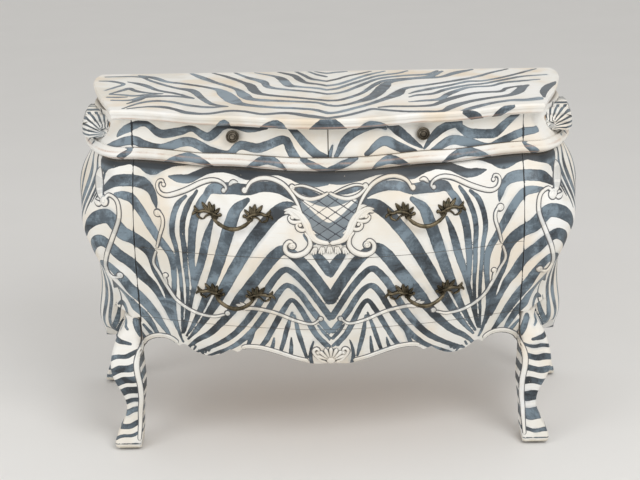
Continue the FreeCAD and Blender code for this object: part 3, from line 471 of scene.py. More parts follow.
friezeStrokes = {
    -1: readStrokes("""
521,804,18 482,820,21 440,833,17 402,810,21 354,819,20 322,829,16 284,811,21 249,836,18 222,838,15
184,833,18 146,841,15;
560,768,15 479,790,22 440,780,22 400,776,20 331,797,22 278,778,22 236,772,17 208,793,20 163,790,22
104,812,20 88,790,22 73,768,22 50,752,10;
86,842,17 57,808,22 28,782,22 0,768,20"""),
    1: readStrokes("""
18,776,10 44,815,20 82,837,20 119,843,17 136,832,7; 147,842,20 169,822,22 195,800,17 222,781,6; 228,778,6
249,804,17 279,827,22 312,833,18; 302,833,15 334,808,22 375,800,22 404,800,22 432,822,20 455,841,15;
90,778,12 130,804,22 165,788,22 205,771,15; 247,770,15 291,794,22 335,785,22 383,767,20 423,779,20
471,795,20 520,800,15;
0,770,15 10,800,5""")}
mouldingStrokes = readStrokes("""
392,742,6 368,754,14 330,763,18 295,755,14 276,744,5; 190,744,6 172,757,14 140,768,18 112,758,12 100,746,4;
470,776,5 490,764,14 512,750,10; 62,772,6 40,762,14 16,750,16 0,744,14""")
sideBlades = {"first": 668, "gap": 52, "count": 10, "width": 28, "sway": 16, "leanFrom": 860, "lean": 0.10,
              "top": 752, "break": 470, "breakReach": 70, "foot": 205, "frieze": (770, 848)}


def sideStrokes():
    # long upright blades down each side, leaning in towards the middle and broken here and there
    strokes = []
    s = sideBlades
    low, high = s["frieze"]
    for index in range(s["count"]):
        at = s["first"] + s["gap"] * index
        sway = s["sway"] * math.sin(index * 1.7)
        broad = s["width"] * (0.85 + 0.25 * math.sin(index * 2.3))
        lean = (at - s["leanFrom"]) * s["lean"]
        split = s["break"] + s["breakReach"] * math.sin(index * 2.9)
        strokes += [
            [(at + sway * 0.3 + lean, s["top"], 5), (at - sway * 0.6, 670, broad),
             (at + sway - lean, 590, broad * 1.1), (at - lean * 1.2, split + 40, broad * 0.9),
             (at - 6 - lean, split, 3)],
            [(at + 12 - lean, split + 34, 3), (at + 10 + sway * 0.4, split - 40, broad * 0.9),
             (at - sway * 0.5, 340, broad), (at + sway * 0.5 + lean, 268, broad * 0.85),
             (at + lean, s["foot"], broad * 0.4)],
            [(at + 6, low, broad * 0.5), (at - 4 + sway * 0.4, (low + high) / 2, broad * 0.7),
             (at + 5, high, broad * 0.4)]]
    return strokes


wobble = {"reach": 5.0, "length": 70.0, "across": 93, "start": 1.3,
          "lift": 0.8, "liftAcross": 51, "spread": 1.1}


def bodyInk(points, strokes):
    around = aroundFront(points)
    up = points[:, 2] * 1000
    right = points[:, 0] > 0
    # the right half is the left one over again by the same hand, so it wanders a little
    turn = around / wobble["length"] + up / wobble["across"] + wobble["start"]
    liftTurn = up / wobble["length"] + around / wobble["liftAcross"]
    shift = wobble["reach"] * np.sin(turn) * right
    lift = wobble["lift"] * wobble["reach"] * np.sin(liftTurn) * right
    ink, tone = inkField(around + shift, up + lift, strokes)
    return ink + wobble["spread"], tone


# bands round each leg as height,width and how steeply they climb towards the middle of the chest
legBands = {
    -1: {"bands": places("250,12 217,20 185,20 154,21 124,13 96,16 60,14 36,8"), "tilt": 0.24},
    1: {"bands": places("260,9 233,16 201,17 167,20 124,28 76,31 36,10"), "tilt": 0.08},
    "top": 268, "inside": 520, "back": 170, "backTilt": 0.13, "waver": 2.5,
    "sole": 15, "soleFade": 4, "soleLine": 18.5, "lineHalf": 1.6}


def legInk(points):
    leg = legBands
    x, y, up = (points * 1000).T
    ink, tone = np.full(len(up), noInk), np.zeros(len(up))
    for side in (-1, 1):
        lean = (up - leg[side]["tilt"] * (leg["inside"] - np.abs(x)) + leg["backTilt"] * (y + leg["back"])
                + leg["waver"] * np.sin(x / 9 + up / 31))
        for index, (centre, width) in enumerate(leg[side]["bands"]):
            inside = width / 2 - np.abs(lean - centre)
            won = (inside > ink) & (x * side > 0)
            ink[won] = inside[won]
            tone[won] = (index * 0.37) % 1
    # the paint has worn off the sole, and a dark line is left above it
    worn = np.clip((leg["sole"] - up) / leg["soleFade"], 0, 1)
    line = leg["lineHalf"] - np.abs(up - leg["soleLine"])
    return np.maximum(np.where(worn > 0, noInk, ink), line), tone, worn


# faces that look further inwards than this keep the bare wood
inward = {"drawerFront": 0.55, "side": -0.4}


def paintedCopy(node, longest, layers):
    # a finer copy of a CAD piece that carries the painting on its vertices
    points, normals, tris = refine(*nodeArrays(node), longest)
    faceNormal = normals[tris].mean(axis=1)
    inner = (faceNormal[:, 1] > inward["drawerFront"]) & node.endswith("_front")
    if node.startswith("side_"):
        inner = faceNormal[:, 0] * np.sign(points[tris].mean(axis=1)[:, 0]) < inward["side"]
    body = node.removesuffix("_front") if "drawer" in node else "carcass"
    name = node.replace("_", "") + "Painted"
    piece = newPiece(name, points, tris, [frontPaint, bareBoards], body, normals, **layers(points, normals))
    piece.data.polygons.foreach_set("material_index", inner.astype(np.int32))
    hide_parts(node)
    return piece


# heights just under the mouldings where painted shade darkens the slate, how far it spreads, how dark
underMouldingShade = [(748, 27, 2.6), (846, 15, 2.0)]
# painted shade along the upright gaps at the ends of the drawers, on faces that look forwards
endGapShade = {"reach": 1.9, "foot": 330, "tone": 3.0, "forwards": -0.4}
friezeFoot = 772
levelFace = 0.95


def hump(up, height, width):
    return np.exp(-((up - height) / width) ** 2)


def frontLayers(points, normals):
    ink, tone = bodyInk(points, frontStrokes + sideStrokes())
    x, _, up = (points * 1000).T
    for side in (-1, 1):
        here = (up > friezeFoot) & (x * side >= 0)
        ink[here], tone[here] = inkField(aroundFront(points[here]), up[here],
                                         friezeStrokes[side] + sideStrokes(), 5 + side)
    # painted shade: the slate darkens just under the mouldings
    for height, spread, depth in underMouldingShade:
        tone = tone + depth * hump(up, height, spread)
    # painted shade: a dark line along the gaps at the drawer ends
    seam = endGapShade["reach"] - np.abs(np.abs(x) - drawerEnd)
    here = (seam > 0) & (up > endGapShade["foot"]) & (normals[:, 1] < endGapShade["forwards"])
    ink[here] = np.maximum(ink[here], seam[here])
    tone[here] = endGapShade["tone"]
    ink[np.abs(normals[:, 2]) > levelFace] = noInk
    return {"ink": ink, "tone": tone}


def postLayers(points, normals):
    above = frontLayers(points, normals)
    ink, tone, worn = legInk(points)
    low = points[:, 2] * 1000 < legBands["top"]
    ink, tone = np.where(low, ink, above["ink"]), np.where(low, tone, above["tone"])
    return {"ink": ink, "tone": tone, "worn": worn}


# brown wash: (height, width, strength)
mouldingWash = {"grooves": [(749, 1.6, 0.9), (764, 1.4, 0.7)], "topGroove": (849, 2.0, 0.75)}


def mouldingLayers(points, normals):
    ink, tone = bodyInk(points, mouldingStrokes + sideStrokes())
    grooves = [strength * hump(points[:, 2] * 1000, height, width)
               for height, width, strength in mouldingWash["grooves"]]
    return {"ink": ink, "tone": tone, "wash": np.max(grooves, axis=0)}


paintPlan = [
    (frontLayers, 0.005, ["upper_drawer_front", "lower_drawer_front", "frieze_drawer_left_front",
                          "frieze_drawer_right_front", "front_apron"]),
    (postLayers, 0.005, ["front_post_left", "front_post_right"]),
    (postLayers, 0.007, ["rear_post_left", "rear_post_right"]),
    (frontLayers, 0.007, ["side_panel_left", "side_panel_right", "side_apron_left", "side_apron_right"]),
    (mouldingLayers, 0.005, ["waist_moulding_front"]),
    (mouldingLayers, 0.006, ["waist_moulding_left", "waist_moulding_right"])]
for layers, longest, nodes in paintPlan:
    for node in nodes:
        print("painted", node, len(paintedCopy(node, longest, layers).data.polygons))

topStrokes = readStrokes("""
-594,215,2 -560,208,7 -524,170,8 -542,131,7 -561,98,2; -517,199,2 -471,155,12 -427,88,8 -374,42,7
-328,-13,3; -585,266,2 -497,262,6 -456,204,7 -417,151,7 -380,109,8 -337,72,17 -306,-18,13 -278,-82,9
-238,-110,2;
-498,280,3 -452,242,14 -413,191,9 -360,157,8 -282,92,10 -256,34,30 -230,-41,32 -205,-87,15 -146,-121,10
-69,-143,9 -30,-160,9 0,-196,10;
-359,294,6 -325,235,15 -278,160,9 -229,88,10 -205,11,26 -180,-36,14 -109,-59,9 -30,-80,9 0,-112,9;
-304,299,3 -258,240,9 -213,165,10 -194,124,22 -179,56,21 -154,17,10 -70,-26,8 0,-62,8;
-244,297,4 -203,225,10 -163,171,17 -149,111,14 -116,80,8 -40,42,7 0,12,7;
-189,292,3 -136,241,9 -114,198,21 -97,127,20 -72,105,9 -20,80,7 0,60,7;
-129,298,4 -86,247,13 -69,194,16 -52,153,9 -20,130,7 0,112,7;
-80,297,5 -57,245,9 -40,202,9 -16,180,7 0,166,7; -46,295,4 -23,253,7 0,226,7; -30,297,3 0,270,6 26,280,6
56,290,3; -543,55,4 -513,100,11 -503,115,10 -482,84,9 -452,60,6 -410,46,2;
-543,49,4 -514,41,6 -480,26,7 -450,38,5 -410,44,2; -530,-20,4 -486,-23,6 -454,11,14 -412,19,9 -372,12,7
-328,-15,3;
-486,-62,3 -462,-20,10 -450,6,6; -546,16,4 -520,12,6 -496,14,2; -490,-114,3 -458,-60,7 -422,-36,8
-382,-48,8 -339,-86,8 -287,-114,8 -238,-110,2;
-478,-117,3 -438,-100,6 -399,-103,10 -366,-128,9 -332,-168,12 -282,-184,8 -235,-158,9 -197,-165,8
-151,-197,8 -95,-189,10 -39,-226,14 0,-250,9;
-420,-158,2 -380,-176,5 -330,-212,4 -290,-228,2; 0,166,7 26,190,7 55,228,7 89,258,6 120,288,3; 0,112,7
30,128,8 70,184,8 110,240,8 156,286,4; 0,60,7 26,76,8 73,143,8 130,220,8 190,257,7 216,286,4;
0,12,7 22,18,7 50,46,8 89,113,9 137,189,9 205,224,8 264,236,8 296,280,5;
0,-62,8 26,-60,8 56,-30,9 90,24,9 125,120,11 156,167,9 228,192,8 271,209,13 308,274,6;
0,-112,9 24,-122,9 63,-94,9 113,-22,24 146,92,28 166,146,12 227,182,8 295,197,9 342,250,15 390,290,5;
0,-196,10 24,-190,9 93,-117,9 142,-51,14 174,2,24 199,66,11 254,100,8 323,144,8 385,190,8 438,248,7
484,290,3;
0,-250,10 45,-222,8 83,-184,7 106,-161,7 132,-171,8 180,-191,8 232,-195,8 269,-194,10 296,-149,17
339,-100,11 397,-60,9 447,-33,11 474,7,20 492,55,18 510,84,4;
122,-145,4 153,-135,8 206,-139,7 252,-128,10 300,-62,14 365,-3,9 429,11,8 450,47,8 493,78,3;
198,-90,3 233,-79,8 272,-65,11 306,1,14 356,63,8 414,78,7 450,114,8 502,134,7 549,150,2;
201,-37,3 222,-17,7 262,-2,9 302,48,10 359,92,8 401,108,7 459,153,8 510,190,6 576,208,2;
204,3,3 225,26,7 267,60,10 315,95,8 363,137,8 401,142,7 459,184,7 517,242,6 560,288,2;
309,-206,4 339,-169,12 390,-121,9 440,-92,8 482,-88,12 516,-74,14;
528,-60,4 536,0,16 556,60,18 584,112,8""")
topEdgeStrokes = {
    -1: readStrokes("""
228,840,4 242,852,18 262,842,6; 96,842,8 118,856,22 146,848,14 160,840,4; 0,868,16 10,852,40 34,842,20"""),
    1: readStrokes("""
0,868,16 10,852,40 34,842,20; 70,842,8 98,853,20 126,848,14 144,840,4; 322,866,12 346,854,24 362,842,16;
398,842,16 412,856,20 440,868,14""")}
# the brush was held so that lines along the board came out broader than lines across it
topBrush = {"squash": 0.55, "spread": 1.5, "tone": 0.8}
topFace = {"height": 0.8695, "up": 0.9, "edgeUp": 0.6,
           "patchHeight": 0.8699, "spacing": 0.0042, "longest": 0.006}


def topLayers(points, normals):
    flat = (points[:, 2] > topFace["height"]) & (normals[:, 2] > topFace["up"])
    x, y, up = (points * 1000).T
    squash = topBrush["squash"]
    ink, tone = inkField(x, y * squash, [stroke * (1, squash, 1) for stroke in topStrokes], 11)
    rim, rimTone = np.zeros(len(points)), np.zeros(len(points))
    for side in (-1, 1):
        here = x * side >= 0
        rim[here], rimTone[here] = inkField(aroundFront(points[here]), up[here], topEdgeStrokes[side], 12)
    rim = np.where(y < 0, rim, noInk)
    height, width, strength = mouldingWash["topGroove"]
    ink = ink + topBrush["spread"]
    edgeInk = np.where(normals[:, 2] > topFace["edgeUp"], np.maximum(ink, rim), rim)
    return {"ink": np.where(flat, ink, edgeInk), "tone": np.where(flat, tone + topBrush["tone"], rimTone),
            "wash": strength * hump(up, height, width)}


def fillOutline(outline, spacing):
    # even triangles inside a closed flat outline
    outline = np.asarray(outline, float)
    low, high = outline.min(axis=0), outline.max(axis=0)
    gx, gy = np.meshgrid(*(np.arange(low[k] + spacing / 2, high[k], spacing) for k in (0, 1)))
    spots = np.stack([gx.ravel(), gy.ravel()], 1)
    inside = np.zeros(len(spots), bool)
    gap = np.full(len(spots), 1e9)
    for a, b in zip(outline, np.roll(outline, -1, axis=0)):
        d = b - a
        crosses = (a[1] > spots[:, 1]) != (b[1] > spots[:, 1])
        inside ^= crosses & (spots[:, 0] < d[0] * (spots[:, 1] - a[1]) / (d[1] + 1e-12) + a[0])
        t = np.clip(((spots - a) @ d) / max(d @ d, 1e-12), 0, 1)
        gap = np.minimum(gap, np.linalg.norm(spots - a - t[:, None] * d, axis=1))
    clear = spacing * 0.45
    every = np.vstack([outline, spots[inside & (gap > clear)]])
    count = len(outline)
    sides = [(k, (k + 1) % count) for k in range(count)]
    made = delaunay_2d_cdt([Vector(p) for p in every], sides, [], 1, 1e-7)
    return np.array([tuple(p) for p in made[0]]), np.array([tuple(f) for f in made[2]], np.int64)


def outlineLoop(tris):
    # the boundary of a patch of triangles, in order
    there = set(map(tuple, np.concatenate([tris[:, [0, 1]], tris[:, [1, 2]], tris[:, [2, 0]]])))
    follow = {a: b for a, b in there if (b, a) not in there}
    loop = [next(iter(follow))]
    while follow[loop[-1]] != loop[0]:
        loop.append(follow[loop[-1]])
    return loop


def makeTop():
    # the upper face gets a fresh even patch, the moulded edge is refined and the underside kept
    points, normals, tris = nodeArrays("top_board")
    up = normals[tris][:, :, 2]
    flat = (points[tris][:, :, 2].min(axis=1) > topFace["patchHeight"]) & (up.min(axis=1) > levelFace)
    under = (up.max(axis=1) < -levelFace) & ~flat
    rim = points[outlineLoop(tris[flat])]
    patch, patchTris = fillOutline(rim[:, :2], topFace["spacing"])
    patch = np.column_stack([patch, np.full(len(patch), rim[:, 2].mean())])
    edgePoints, edgeNormals, edgeTris = refine(points, normals, tris[~flat & ~under], topFace["longest"])
    points = np.vstack([edgePoints, patch])
    normals = np.vstack([edgeNormals, np.tile([0.0, 0.0, 1.0], (len(patch), 1))])
    tris = np.concatenate([edgeTris, tris[under], patchTris + len(edgePoints)])
    piece = newPiece("topBoardPainted", points, tris, [topPaint], "carcass", normals,
                     **topLayers(points, normals))
    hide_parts("top_board")
    print("top board", len(tris))


makeTop()


def frontSurface(names):
    points, faces = [], []
    for name in names:
        nodePoints, _, tris = nodeArrays(name)
        faces += (tris + len(points)).tolist()
        points += [Vector(p) for p in nodePoints]
    return BVHTree.FromPolygons(points, faces)


frontTree = frontSurface(["upper_drawer_front", "lower_drawer_front", "front_post_left", "front_post_right",
                          "front_apron"])
# where else to look when a place falls into the lines round a drawer
nearBy = {"shifts": places("0,0 0,1.8 0,-1.8 1.8,0 -1.8,0 0,5 4,0 -4,0 0,9 8,0 -8,0 0,14 0,20 8,8 14,0 "
                           "-14,0"), "enough": 2, "depth": 0.004, "level": 0.9, "from": -1}


def onFront(x, z):
    # place and lean of the front at a width and height in mm, bridging the lines round the drawers
    found = []
    aside = 1 if x > 0 else -1
    for dx, dz in nearBy["shifts"]:
        if found and max(abs(dx), abs(dz)) > nearBy["enough"]:
            break
        start = Vector(((x + dx * aside) / 1000, nearBy["from"], (z + dz) / 1000))
        spot, lean, _, _ = frontTree.ray_cast(start, Vector((0, 1, 0)))
        if spot is not None:
            found.append((spot.y, lean, dx == dz == 0))
    front = min(f[0] for f in found)
    good = [f for f in found if f[0] < front + nearBy["depth"] and abs(f[1].z) < nearBy["level"]]
    good = [f for f in good if f[2]] or good or found
    lean = sum((f[1] for f in good), Vector()).normalized()
    return Vector((x / 1000, sum(f[0] for f in good) / len(good), z / 1000)), lean


# how a ribbon and a volute are cut, from side to side and from the middle out
profile = {"ribbon": (-1.0, -0.99, -0.9, -0.72, -0.45, -0.15, 0.0, 0.15, 0.45, 0.72, 0.9, 0.99, 1.0),
           "volute": (0.02, 0.15, 0.3, 0.45, 0.6, 0.72, 0.84, 0.93, 0.99, 1.0), "round": 28,
           "footLift": 0.12, "lipLift": 0.5, "veinWidth": 0.16, "groove": (0.38, 0.13)}


class Relief:
    # rounded ribbons, leaves and volutes laid on the front, gathered into one piece
    def __init__(self):
        self.points, self.faces, self.rims, self.flat = [], [], [], []

    def grid(self, rows, closed=False):
        # rows of (x, z, height, rim, place that the ink is read at)
        base, wide = len(self.points), len(rows[0])
        for row in rows:
            for x, z, height, rim, inkAt in row:
                spot, lean = onFront(x, z)
                self.points.append(spot + lean * (height / 1000))
                self.rims.append(rim)
                self.flat.append(inkAt)
        for r in range(len(rows) - 1):
            here = base + r * wide
            for c in range(wide if closed else wide - 1):
                d = (c + 1) % wide
                self.faces.append((here + c, here + d, here + wide + d, here + wide + c))

    def ribbon(self, line, widths, height, vein=0.0, hand=1, outline=2.2, step=3.0):
        centre = smoothStroke([(x * hand, z, 1) for x, z in line], step)[:, :2]
        spans = np.hypot(*np.diff(centre, axis=0).T)
        length = spans.sum()
        start, middle, end = widths
        rows = []
        for k, t in enumerate(np.concatenate([[0], np.cumsum(spans)]) / length):
            x, z = centre[k]
            ahead = centre[min(k + 1, len(centre) - 1)] - centre[max(k - 1, 0)]
            ahead = ahead / max(np.hypot(*ahead), 1e-9)
            wide = start * (1 - t) + end * t + (middle - (start + end) / 2) * math.sin(math.pi * t)
            cap = min(1, math.sqrt(max(0, min(t, 1 - t) * length / (0.5 * wide + 0.1))))
            half = max(wide / 2 * cap, 0.25)
            tall = height * (0.35 + 0.65 * cap) * min(1, wide / max(widths) + 0.35)
            row = []
            for s in profile["ribbon"]:
                out = half * s if abs(s) < 1 else half * s + outline * np.sign(s)
                dip = vein * tall * math.exp(-(s / profile["veinWidth"]) ** 2)
                lift = tall * math.sqrt(max(0, 1 - s * s)) - dip
                if abs(s) > 0.98:
                    lift = profile["footLift"] if abs(s) == 1 else profile["lipLift"]
                # the rim is painted darkest: painted shade on the flat lip past the edge, as wide as
                # outline, and on the flanks
                rim = 1.0 if abs(s) > 0.95 else abs(s) ** 3 * 0.8
                row.append((x - ahead[1] * out, z + ahead[0] * out, lift, rim, (x, z)))
            rows.append(row)
        self.grid(rows)

    def volute(self, x, z, radius, height, turns=0, hand=1, outline=2.2):
        # a scroll wound the other way has its turns below zero
        x = x * hand
        depth, width = profile["groove"]
        rows = []
        for r in profile["volute"]:
            row = []
            for k in range(profile["round"]):
                angle = 2 * math.pi * k / profile["round"]
                out = radius * r if r < 1 else radius + outline
                groove = (r * turns - hand * angle / (2 * math.pi)) % 1
                cut = depth * math.exp(-((groove - 0.5) / width) ** 2) if 0.2 < r < 0.95 and turns else 0
                lift = height * math.sqrt(max(0, 1 - r ** 3)) * (1 - cut)
                if r > 0.98:
                    lift = profile["footLift"] if r == 1 else profile["lipLift"]
                # the spiral groove and the outer edge get painted shade the same way
                rim = 1.0 if r > 0.95 else min(1, cut * 1.9 + 0.5 * r ** 4)
                row.append((x + out * math.cos(angle), z + out * math.sin(angle), lift, rim, (x, z)))
            rows.append(row)
        self.grid(rows, closed=True)

    def carve(self, shape, hand):
        # a ribbon is (line, widths at start, middle and end, height, vein),
        # a volute (x, z, radius, height, turns)
        for line, *cut in shape["ribbons"]:
            self.ribbon(places(line), *cut, hand)
        for scroll in shape["volutes"]:
            self.volute(*scroll, hand)

    def build(self, name, material, body, nodes, slotName="painted_wood", inked=False):
        ink = np.full(len(self.flat), noInk)
        if inked:
            # only round the corner does the depth count
            y = [onFront(a, b)[0].y if abs(a) > drawerEnd else nearBy["from"] for a, b in self.flat]
            flat = np.array(self.flat, float) / 1000
            ink, _ = bodyInk(np.column_stack([flat[:, 0], y, flat[:, 1]]), frontStrokes)
        piece = newPiece(name, self.points, self.faces, [material], body, None, slotName,
                         ink=ink, rim=self.rims)
        if nodes:
            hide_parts(*nodes)


cornerScroll = {
    "ribbons": [
        ("543,652 531,664 514,656 507,636 509,606 527,560 543,518 549,479 536,456 512,461",
         (6, 10, 6), 4.6, 0),
        ("550,652 558,668 563,688 560,712", (9, 24, 3), 4.2, 0.3),
        ("550,643 562,642 571,647", (6, 10, 2), 4.2, 0.3)],
    "volutes": [(543, 650, 11, 5.0, 1.6), (514, 464, 8, 4.5, -1.3)]}
upperScrolls = {
    "ribbons": [
        ("395,697 398,703 407,701 411,692 407,680 396,673 378,674 340,688 303,706 278,713 260,712 "
         "247,706 242,698 246,691", (5, 10, 5), 4.6, 0),
        ("236,704 226,712 214,711", (4, 8, 2), 3.5, 0.3),
        ("406,632 399,620 399,602 408,574 416,543", (6, 7, 5), 4.0, 0)],
    "volutes": [(395, 695, 4, 3.5, 0), (248, 693, 5, 4.2, 0), (411, 630, 8.5, 4.5, 1.4)]}
lowerScrolls = {
    "ribbons": [
        ("419,536 427,504 413,476 395,440 372,404 331,377 286,369 256,378", (5, 8, 5), 4.0, 0),
        ("404,478 400,464 396,448", (3, 7, 2), 3.5, 0.3),
        ("209,398 183,401 135,392 84,371 45,363 26,376", (9, 8, 5), 4.0, 0),
        ("206,398 220,400 233,394", (5, 9, 2), 3.8, 0.3),
        ("206,399 217,407 228,409", (5, 9, 2), 3.8, 0.3),
        ("202,400 209,409 218,416", (5, 9, 2), 3.8, 0.3)],
    "volutes": [(250, 382, 6.5, 4, 1.2), (398, 474, 5.5, 4, 0), (24, 378, 6, 4, 1.2)]}


def makeScrolls():
    for hand, side in ((1, "Right"), (-1, "Left")):
        relief = Relief()
        relief.carve(cornerScroll, hand)
        nodes = ["corner_scroll_" + side.lower()]
        relief.build("cornerScroll" + side, carving, "carcass", nodes, inked=True)
    for level, shape in (("upper", upperScrolls), ("lower", lowerScrolls)):
        relief = Relief()
        for hand in (-1, 1):
            relief.carve(shape, hand)
        drawer = level + "_drawer"
        relief.build(level + "Scrolls", carving, drawer, [drawer + "_scrolls"], inked=True)


makeScrolls()
print("scrolls carved")

cartouche = {
    "ribbons": [
        ("197,692 184,712 161,722 133,722 107,712 88,694 74,672 62,644", (6, 9, 5), 4.6, 0),
        ("88,703 68,687 44,681 20,686 0,695", (5, 9, 6), 5.5, 0),
        ("88,706 62,710 34,703 10,693", (3, 5, 3), 3.0, 0),
        ("58,640 76,642 92,652 105,648", (7, 13, 3), 5.5, 0.3),
        ("58,634 76,629 89,631 94,639 88,645", (6, 9, 3), 5.5, 0),
        ("50,618 62,611 73,614 76,623 69,628", (6, 9, 3), 5.0, 0),
        ("64,648 74,662 88,664", (5, 10, 2), 5.0, 0.3),
        ("106,655 88,657 68,646 54,627 45,606 34,590 12,580", (3, 19, 9), 7.5, 0.22),
        ("58,607 47,592 46,573 60,556 83,549 101,557 104,572 95,583 85,580", (6, 13, 6), 7.0, 0),
        ("44,608 38,596 22,585 0,580", (6, 11, 11), 7.0, 0),
        ("40,612 34,604 30,606", (3, 6, 2), 5.0, 0)],
    "volutes": [(86, 640, 5, 4.5, 0), (68, 623, 4.5, 4.5, 0), (88, 573, 9, 5.5, 1.5),
                (86, 706, 6.5, 4, 1.2), (198, 696, 6.5, 4.2, 1.3)],
    "tassel": {"ribs": (-38, -19, 0, 19, 38), "top": 574, "sag": 3, "leans": (-5, 0, 5)},
    "field": "0,692 20,683 44,678 66,677 62,655 52,634 44,612 30,594 14,586 0,584",
    "fieldLift": 3.0, "spacing": 2.0,
    "lattice": {"half": 80, "lines": range(-3, 4), "step": 25, "slope": 0.66, "middle": 640, "skew": 3,
                "widths": (1.6, 2.6)},
    "shades": "-80,708,34 0,679,30 80,708,34; -90,664,52 0,604,50 90,664,52"}


def makeCartouche():
    relief = Relief()
    for hand in (-1, 1):
        relief.carve(cartouche, hand)
    tassel = cartouche["tassel"]
    for x in tassel["ribs"]:
        top = tassel["top"] - tassel["sag"] * abs(x) / max(tassel["ribs"])
        for lean in tassel["leans"]:
            line = [(x * 0.85 + lean * 0.4, top), (x + lean, top - 14),
                    (x + lean * 1.2, top - 20 + abs(lean) * 0.5)]
            relief.ribbon(line, (4, 6, 6), 5.0, outline=0.8)
    relief.build("cartoucheFrame", carving, "upper_drawer", ["upper_drawer_cartouche"])
    # sunk field with its scratched lattice
    outline = smoothStroke([(x, z, 1) for x, z in places(cartouche["field"])], 4)[:, :2]
    flat, tris = fillOutline(np.vstack([outline, outline[-2:0:-1] * (-1, 1)]), cartouche["spacing"])
    lift = cartouche["fieldLift"] / 1000
    points = [spot + lean * lift for spot, lean in (onFront(x, z) for x, z in flat)]
    grid = cartouche["lattice"]
    thin, thick = grid["widths"]
    lines = []
    for hand in (-1, 1):
        rise = hand * grid["slope"] * grid["half"]
        for k in grid["lines"]:
            middle = grid["middle"] + k * grid["step"] + hand * grid["skew"]
            lines.append([(-grid["half"], middle - rise, thin), (grid["half"], middle + rise, thick)])
    lattice, _ = inkField(*flat.T, lines)
    shade, _ = inkField(*flat.T, readStrokes(cartouche["shades"]))
    newPiece("cartoucheField", points, tris, [latticePaint("latticeField")], "upper_drawer",
             ink=shade, lattice=lattice)


makeCartouche()
print("cartouche carved")

# arch and sweep are share of the half width,drop below bandTop; legEdge goes on down the leg
apron = {
    "bandTop": 351.5,
    "arch": "0.995,84 0.98,74 0.945,63 0.905,57 0.863,57 0.829,63 0.806,74",
    "sweep": "0.465,69 0.431,63 0.359,64 0.273,75 0.188,90 0.115,99",
    "legEdge": "464,275 474,265 482,250 486,232 485,208 480,174 480,133 484,98 486,62 488,26",
    "fanRoot": 257, "fanSpread": 0.74, "fanRibs": 7, "ribAt": (8, 24, 39),
    "ribbons": [("12,253 24,257 36,271 42,285 34,293 27,285", (6, 9, 5), 6.0, 0)],
    "volutes": [(31, 281, 6, 6, 1.2)]}


def makeApronCarving():
    bands, legs, fan = Relief(), Relief(), Relief()
    for hand in (-1, 1):
        for run in ("arch", "sweep"):
            line = [(share * drawerEnd, apron["bandTop"] - drop) for share, drop in places(apron[run])]
            bands.ribbon(line, (11, 12, 11), 3.8, 0.35, hand, 1.6)
        legs.ribbon(places(apron["legEdge"]), (12, 12, 7), 3.2, 0.3, hand, 1.8)
    bands.build("apronEdgeBands", carving, "carcass", ["apron_edge_bands"])
    legs.build("legEdgeBands", carving, "carcass", [])
    for k in range(apron["fanRibs"]):
        turn = math.pi * (0.5 + apron["fanSpread"] * (k / (apron["fanRibs"] - 1) - 0.5))
        line = [(r * math.cos(turn), apron["fanRoot"] + r * math.sin(turn)) for r in apron["ribAt"]]
        fan.ribbon(line, (4, 9, 11), 6.0, outline=1.0)
    fan.volute(0, apron["fanRoot"], 11, 7)
    for hand in (-1, 1):
        fan.carve(apron, hand)
    fan.build("apronShell", carving, "carcass", ["apron_shell"])


makeApronCarving()

# nine ribs fan out from a root above the foot; lengths in mm
sideShell = {"rootY": 0.049, "rootZ": 0.798, "rib": math.radians(20), "groove": 3.0, "collar": (13, 23),
             "dart": (34, 62), "dartShare": 0.36, "dartWidth": 11, "edge": 0.4,
             "frontEnd": -42, "frontX": 590, "frontFoot": 792, "blades": 10, "bladeShare": 0.40}


def shellLayers(points, normals):
    s = sideShell
    y, z = (points[:, 1] - s["rootY"]) * 1000, (points[:, 2] - s["rootZ"]) * 1000
    reach = np.hypot(y, z)
    turn = np.arctan2(z, y) / s["rib"]
    ribWidth = reach * s["rib"]
    groove = s["groove"] / 2 - np.abs(turn - np.round(turn)) * ribWidth
    # dark darts on every other rib, broader towards the rim, and a toothed collar round the button
    near, far = s["dart"]
    share = s["dartShare"] * np.clip((reach - near) / (far - near), 0, 1)
    bend = 0.5 + 0.10 * np.sin(reach / 14)
    half = np.minimum(share * ribWidth, s["dartWidth"] / 2)
    dart = half - np.abs(turn % 1 - bend) * ribWidth
    dart = np.where((np.floor(turn) % 2 == 0) & (reach > near), dart, noInk)
    low, high = s["collar"]
    tooth = np.minimum(reach - low, high * (0.72 + 0.28 * np.abs(np.sin(turn * math.pi / 2))) - reach)
    # the end that turns to the front has blades of its own, fanned upwards from the foot
    across, rise = np.abs(points[:, 0]) * 1000 - s["frontX"], points[:, 2] * 1000 - s["frontFoot"]
    outward = np.sqrt(across ** 2 + (y * 0.5) ** 2 + rise ** 2)
    blade = np.arctan2(rise, across * 0.8 + np.abs(y) * 0.35) / math.pi * s["blades"]
    blade = blade + 0.35 * np.sin(outward / 11)
    bladeInk = s["bladeShare"] / 2 - np.abs(blade % 1 - 0.5)
    bladeInk = bladeInk * np.maximum(outward, 6) * math.pi / s["blades"]
    ink = np.maximum(np.where(reach > low, groove, noInk), np.maximum(dart, tooth))
    ink = np.where(y < s["frontEnd"], bladeInk, ink) + s["edge"]
    return {"ink": ink, "tone": 1.1 + (np.floor(turn) * 0.37) % 0.6}


for side in ("left", "right"):
    paintedCopy("side_shell_" + side, 0.004, shellLayers)
print("shells painted")

